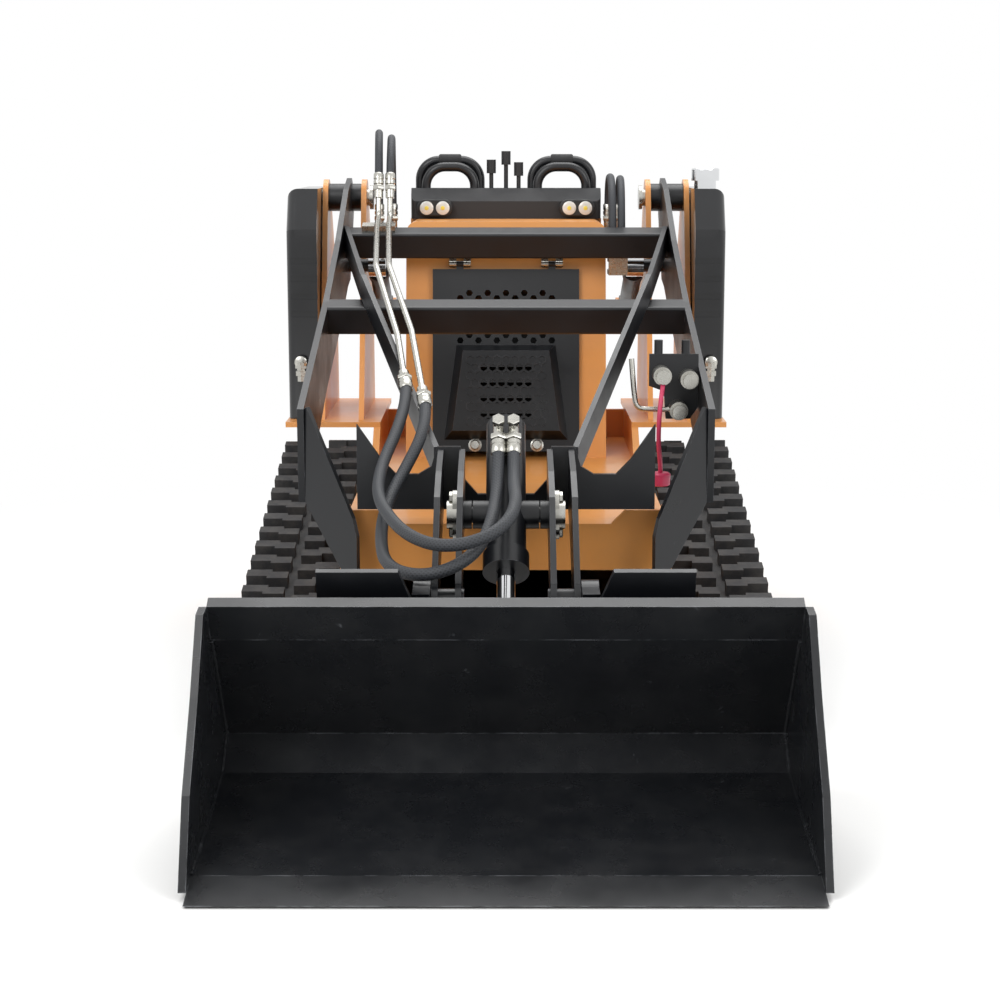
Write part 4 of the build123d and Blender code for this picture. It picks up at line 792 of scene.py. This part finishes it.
@dataclass
class Fittings:
    """Small fittings on the CAD pieces. Places and sizes are in millimetres."""

    palette: Palette

    def fix(self, piece: bpy.types.Object, look: Look, body: str) -> None:
        """Dress a finished piece and let it ride on a body.

        Args:
            piece: mesh object at its place.
            look: its finish.
            body: the body that carries it.
        """
        self.palette.dress(piece, look)
        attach(piece, body)

    def build_lamps(self) -> None:
        """Two domed lenses with a yellow chip each in both work lights."""
        lamp_x, lamp_front, lamp_z, half_gap, lens_height = 168.0, 824.0, 940.0, 19.0, 4.8
        spots = [(side * lamp_x + gap, lamp_z) for side in (-1, 1) for gap in (-half_gap, half_gap)]
        forward = (0.0, -1.0, 0.0)
        lens = Bench.turned("lens", ((0, 16), (2.5, 16), (4, 13.5), (lens_height, 9)))
        lenses = Bench.scatter("lamp_lenses", lens, [
            Bench.aim((x, lamp_front, z), forward) for x, z in spots])
        self.fix(lenses, Look.LENS, "chassis")
        chip = Bench.turned("chip", ((0, 5), (1.2, 5), (1.8, 3.5)), 12)
        front = lamp_front - lens_height
        chips = Bench.scatter("lamp_chips", chip, [Bench.aim((x, front, z), forward) for x, z in spots])
        self.fix(chips, Look.CHIP, "chassis")

    def build_crimps(self, hoses: Sequence[Hose]) -> None:
        """Crimped sleeve and hexagon nut on both ends of every hose.

        Args:
            hoses: the hoses with their routes.
        """
        spots: dict[tuple[str, float], list[Matrix]] = {}
        for hose in hoses:
            ends = ((hose.first, hose.route[0], hose.route[1]), (hose.second, hose.route[-1], hose.route[-2]))
            for body, foot, ahead in ends:
                run = Vector(ahead) - Vector(foot)
                spots.setdefault((body, hose.diameter_mm), []).append(Bench.aim(foot, tuple(run)))
        for (body, diameter), places in spots.items():
            radius = diameter / 2
            sleeve = Bench.turned("sleeve", (
                (0, radius + 1), (1.5, radius + 2.6), (9, radius + 2.6), (10, radius + 1.4),
                (12, radius + 1.4), (13, radius + 2.6), (24, radius + 2.6), (27, radius + 0.6)), 24)
            crimps = Bench.scatter(f"crimps_{body}_{diameter:.0f}", sleeve, places)
            self.fix(crimps, Look.ZINC, body)
            nut = Bench.turned("nut", ((-13, radius + 3.2), (-11.5, radius + 4.4), (-3.5, radius + 4.4),
                                       (-2, radius + 3.2)), 6)
            nuts = Bench.scatter(f"nuts_{body}_{diameter:.0f}", nut, places)
            self.fix(nuts, Look.ZINC, body)

    def build_bolts(self) -> None:
        """Hexagon heads on the trunnion bearings and on the tilt cylinder's ports."""
        bearing_face, bolt_gap, port_x = 90.0, 30.0, 13.0
        port_head = (-536.8, 617.3)
        head = ((0, 8.5), (1, 9.5), (5.5, 9.5), (6.5, 8))
        sides = [(side, up) for side in (-1, 1) for up in (-bolt_gap, bolt_gap)]
        bearing = Bench.scatter("bearing_bolts", Bench.turned("bolt", head, 6), [
            Bench.aim((side * bearing_face, TRUNNION[0], TRUNNION[1] + up), (side, 0, 0))
            for side, up in sides])
        self.fix(bearing, Look.ZINC, "arm")
        banjo = ((0, 10), (1, 11.5), (8, 11.5), (9, 10))
        ports = Bench.scatter("banjo_bolts", Bench.turned("bolt", banjo, 6), [
            Bench.aim((x, *port_head), (0, *TILT_FACE)) for x in (-port_x, port_x)])
        self.fix(ports, Look.ZINC, "tilt_barrel")

    def build_latches(self) -> None:
        """Two turned latch knobs on the foot of the grille door."""
        latch_x, latch_place = 70.0, (541.9, 417.1)
        knob = Bench.turned("knob", ((0, 15), (3, 15), (4, 11), (12, 11), (14, 9)), 32)
        latches = Bench.scatter("door_latches", knob, [
            Bench.aim((x, *latch_place), (0, *DOOR_OUT)) for x in (-latch_x, latch_x)])
        self.fix(latches, Look.ZINC, "door")

    def build_screen(self) -> None:
        """Perforated screen on the front of the door's guard: rings on a hexagonal grid."""
        pitch, bar, thick, rows, columns = 20.0, 2.6, 2.0, 9, 9
        centre = Vector((0.0, 519.2, 544.0))
        Bench.clear()
        bpy.ops.mesh.primitive_circle_add(vertices=6, radius=pitch / math.sqrt(3) * MM, fill_type="NGON")
        ring = bpy.context.object
        bpy.ops.object.mode_set(mode="EDIT")
        bpy.ops.mesh.select_all(action="SELECT")
        bpy.ops.mesh.inset(thickness=bar * MM)
        bpy.ops.mesh.delete(type="FACE")
        bpy.ops.object.mode_set(mode="OBJECT")
        Bench.modify(ring, "SOLIDIFY", thickness=thick * MM, offset=1.0)
        out = Vector((0.0, *DOOR_OUT))
        up = Vector((0.0, *DOOR_RUN))
        turn = Matrix((Vector((1.0, 0.0, 0.0)), up, out)).transposed().to_4x4()
        spots = []
        for row in range(rows):
            count = columns - row % 2
            for column in range(count):
                x = (column - (count - 1) / 2) * pitch
                y = (row - (rows - 1) / 2) * pitch * math.sqrt(3) / 2
                spots.append(Matrix.Translation((centre + Vector((x, 0.0, 0.0)) + up * y) * MM) @ turn)
        self.fix(Bench.scatter("guard_screen", ring, spots), Look.BLACK, "door")

    def build_tethers(self) -> None:
        """Red dust cap on a moulded tether, and the bent rod beside the couplers."""
        tether_radius, rod_radius, cap_foot = 4.5, 5.0, (287, -262, 460)
        tether = Bench.line_of(Bench.spline("tether_line", (
            (290, -262, 650), (282, -292, 612), (280, -290, 545), (287, -266, 500), (287, -262, 484))))
        strap = Bench.sleeve("cap_tether", tether, [tether_radius] * len(tether), 10)
        cap = Bench.turned("cap_body", ((0, 15), (2, 18), (20, 19), (22, 19), (25, 15)), 32)
        cap.data.transform(Bench.aim(cap_foot, (0, 0, 1)))
        self.fix(Bench.join("red_cap", [cap, strap]), Look.RED, "arm")
        bent = Bench.line_of(Bench.spline("rod_line", (
            (306, -225, 598), (268, -225, 598), (244, -225, 600), (239, -222, 625), (234, -215, 692))))
        self.fix(Bench.sleeve("bent_rod", bent, [rod_radius] * len(bent), 14), Look.ZINC, "arm")

    def build_tank_fittings(self) -> None:
        """Elbow of hexagon fittings on the front of both tanks."""
        tank_x, tank_front, elbow_y, elbow_z = 466.0, 612.0, 596.0, 600.0
        parts = []
        for side in (-1, 1):
            stub = Bench.turned("stub", ((-3, 12), (8, 12), (9, 14), (24, 14), (26, 11)), 24)
            stub.data.transform(Bench.aim((side * tank_x, tank_front, elbow_z), (0, -1, 0)))
            stack = Bench.turned("stack", (
                (0, 13), (1, 14.5), (14, 14.5), (15, 10), (19, 10), (20, 13), (31, 13), (32, 9), (44, 9)), 6)
            stack.data.transform(Bench.aim((side * tank_x, elbow_y, elbow_z), (0, 0, -1)))
            parts += [stub, stack]
        self.fix(Bench.join("tank_fittings", parts), Look.ZINC, "chassis")

    def build_welds(self) -> None:
        """Rippled weld bead in the inside corner between the bucket's shell and its side plates."""
        weld_x, bead, ripple, step = 464.5, 4.5, 0.8, 6.0
        corners = [Vector((0.0, y, z)) for y, z in BUCKET_INSIDE]
        beads = []
        for side in (-1, 1):
            line = []
            for start, end in zip(corners, corners[1:]):
                count = round((end - start).length / step)
                line += [start.lerp(end, index / count) for index in range(count)]
            line = [(point + Vector((side * weld_x, 0.0, 0.0))) * MM for point in (*line, corners[-1])]
            radii = [bead + ripple * math.sin(2.2 * index) for index in range(len(line))]
            beads.append(Bench.sleeve("bead", line, radii, 10))
        self.fix(Bench.join("bucket_welds", beads), Look.BUCKET, "bucket")

    def build_grips(self) -> None:
        """Foam grip on the upper bar of both handles."""
        grip_start, grip_place = 107.0, (914.0, 1050.0)
        grip = Bench.turned("grip", ((0, 13), (3, 15), (50, 15), (53, 13)), 32)
        grips = Bench.scatter("hand_grips", grip, [
            Bench.aim((side * grip_start, *grip_place), (side, 0, 0)) for side in (-1, 1)])
        self.fix(grips, Look.GRIP, "chassis")

    def build(self, hoses: Sequence[Hose]) -> None:
        """Build every fitting.

        Args:
            hoses: the hoses that get crimped ends.
        """
        self.build_lamps()
        self.build_crimps(hoses)
        self.build_bolts()
        self.build_latches()
        self.build_screen()
        self.build_tethers()
        self.build_tank_fittings()
        self.build_welds()
        self.build_grips()


def main() -> None:
    """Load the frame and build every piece."""
    logging.basicConfig(level=logging.INFO, format="%(message)s")
    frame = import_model()
    palette = Palette()
    Studio().build()
    Coats().apply(frame["nodes"], palette)
    hose_set = HoseSet()
    hose_set.build(palette)
    Fittings(palette).build(hose_set.hoses())


if __name__ == "__main__":
    main()
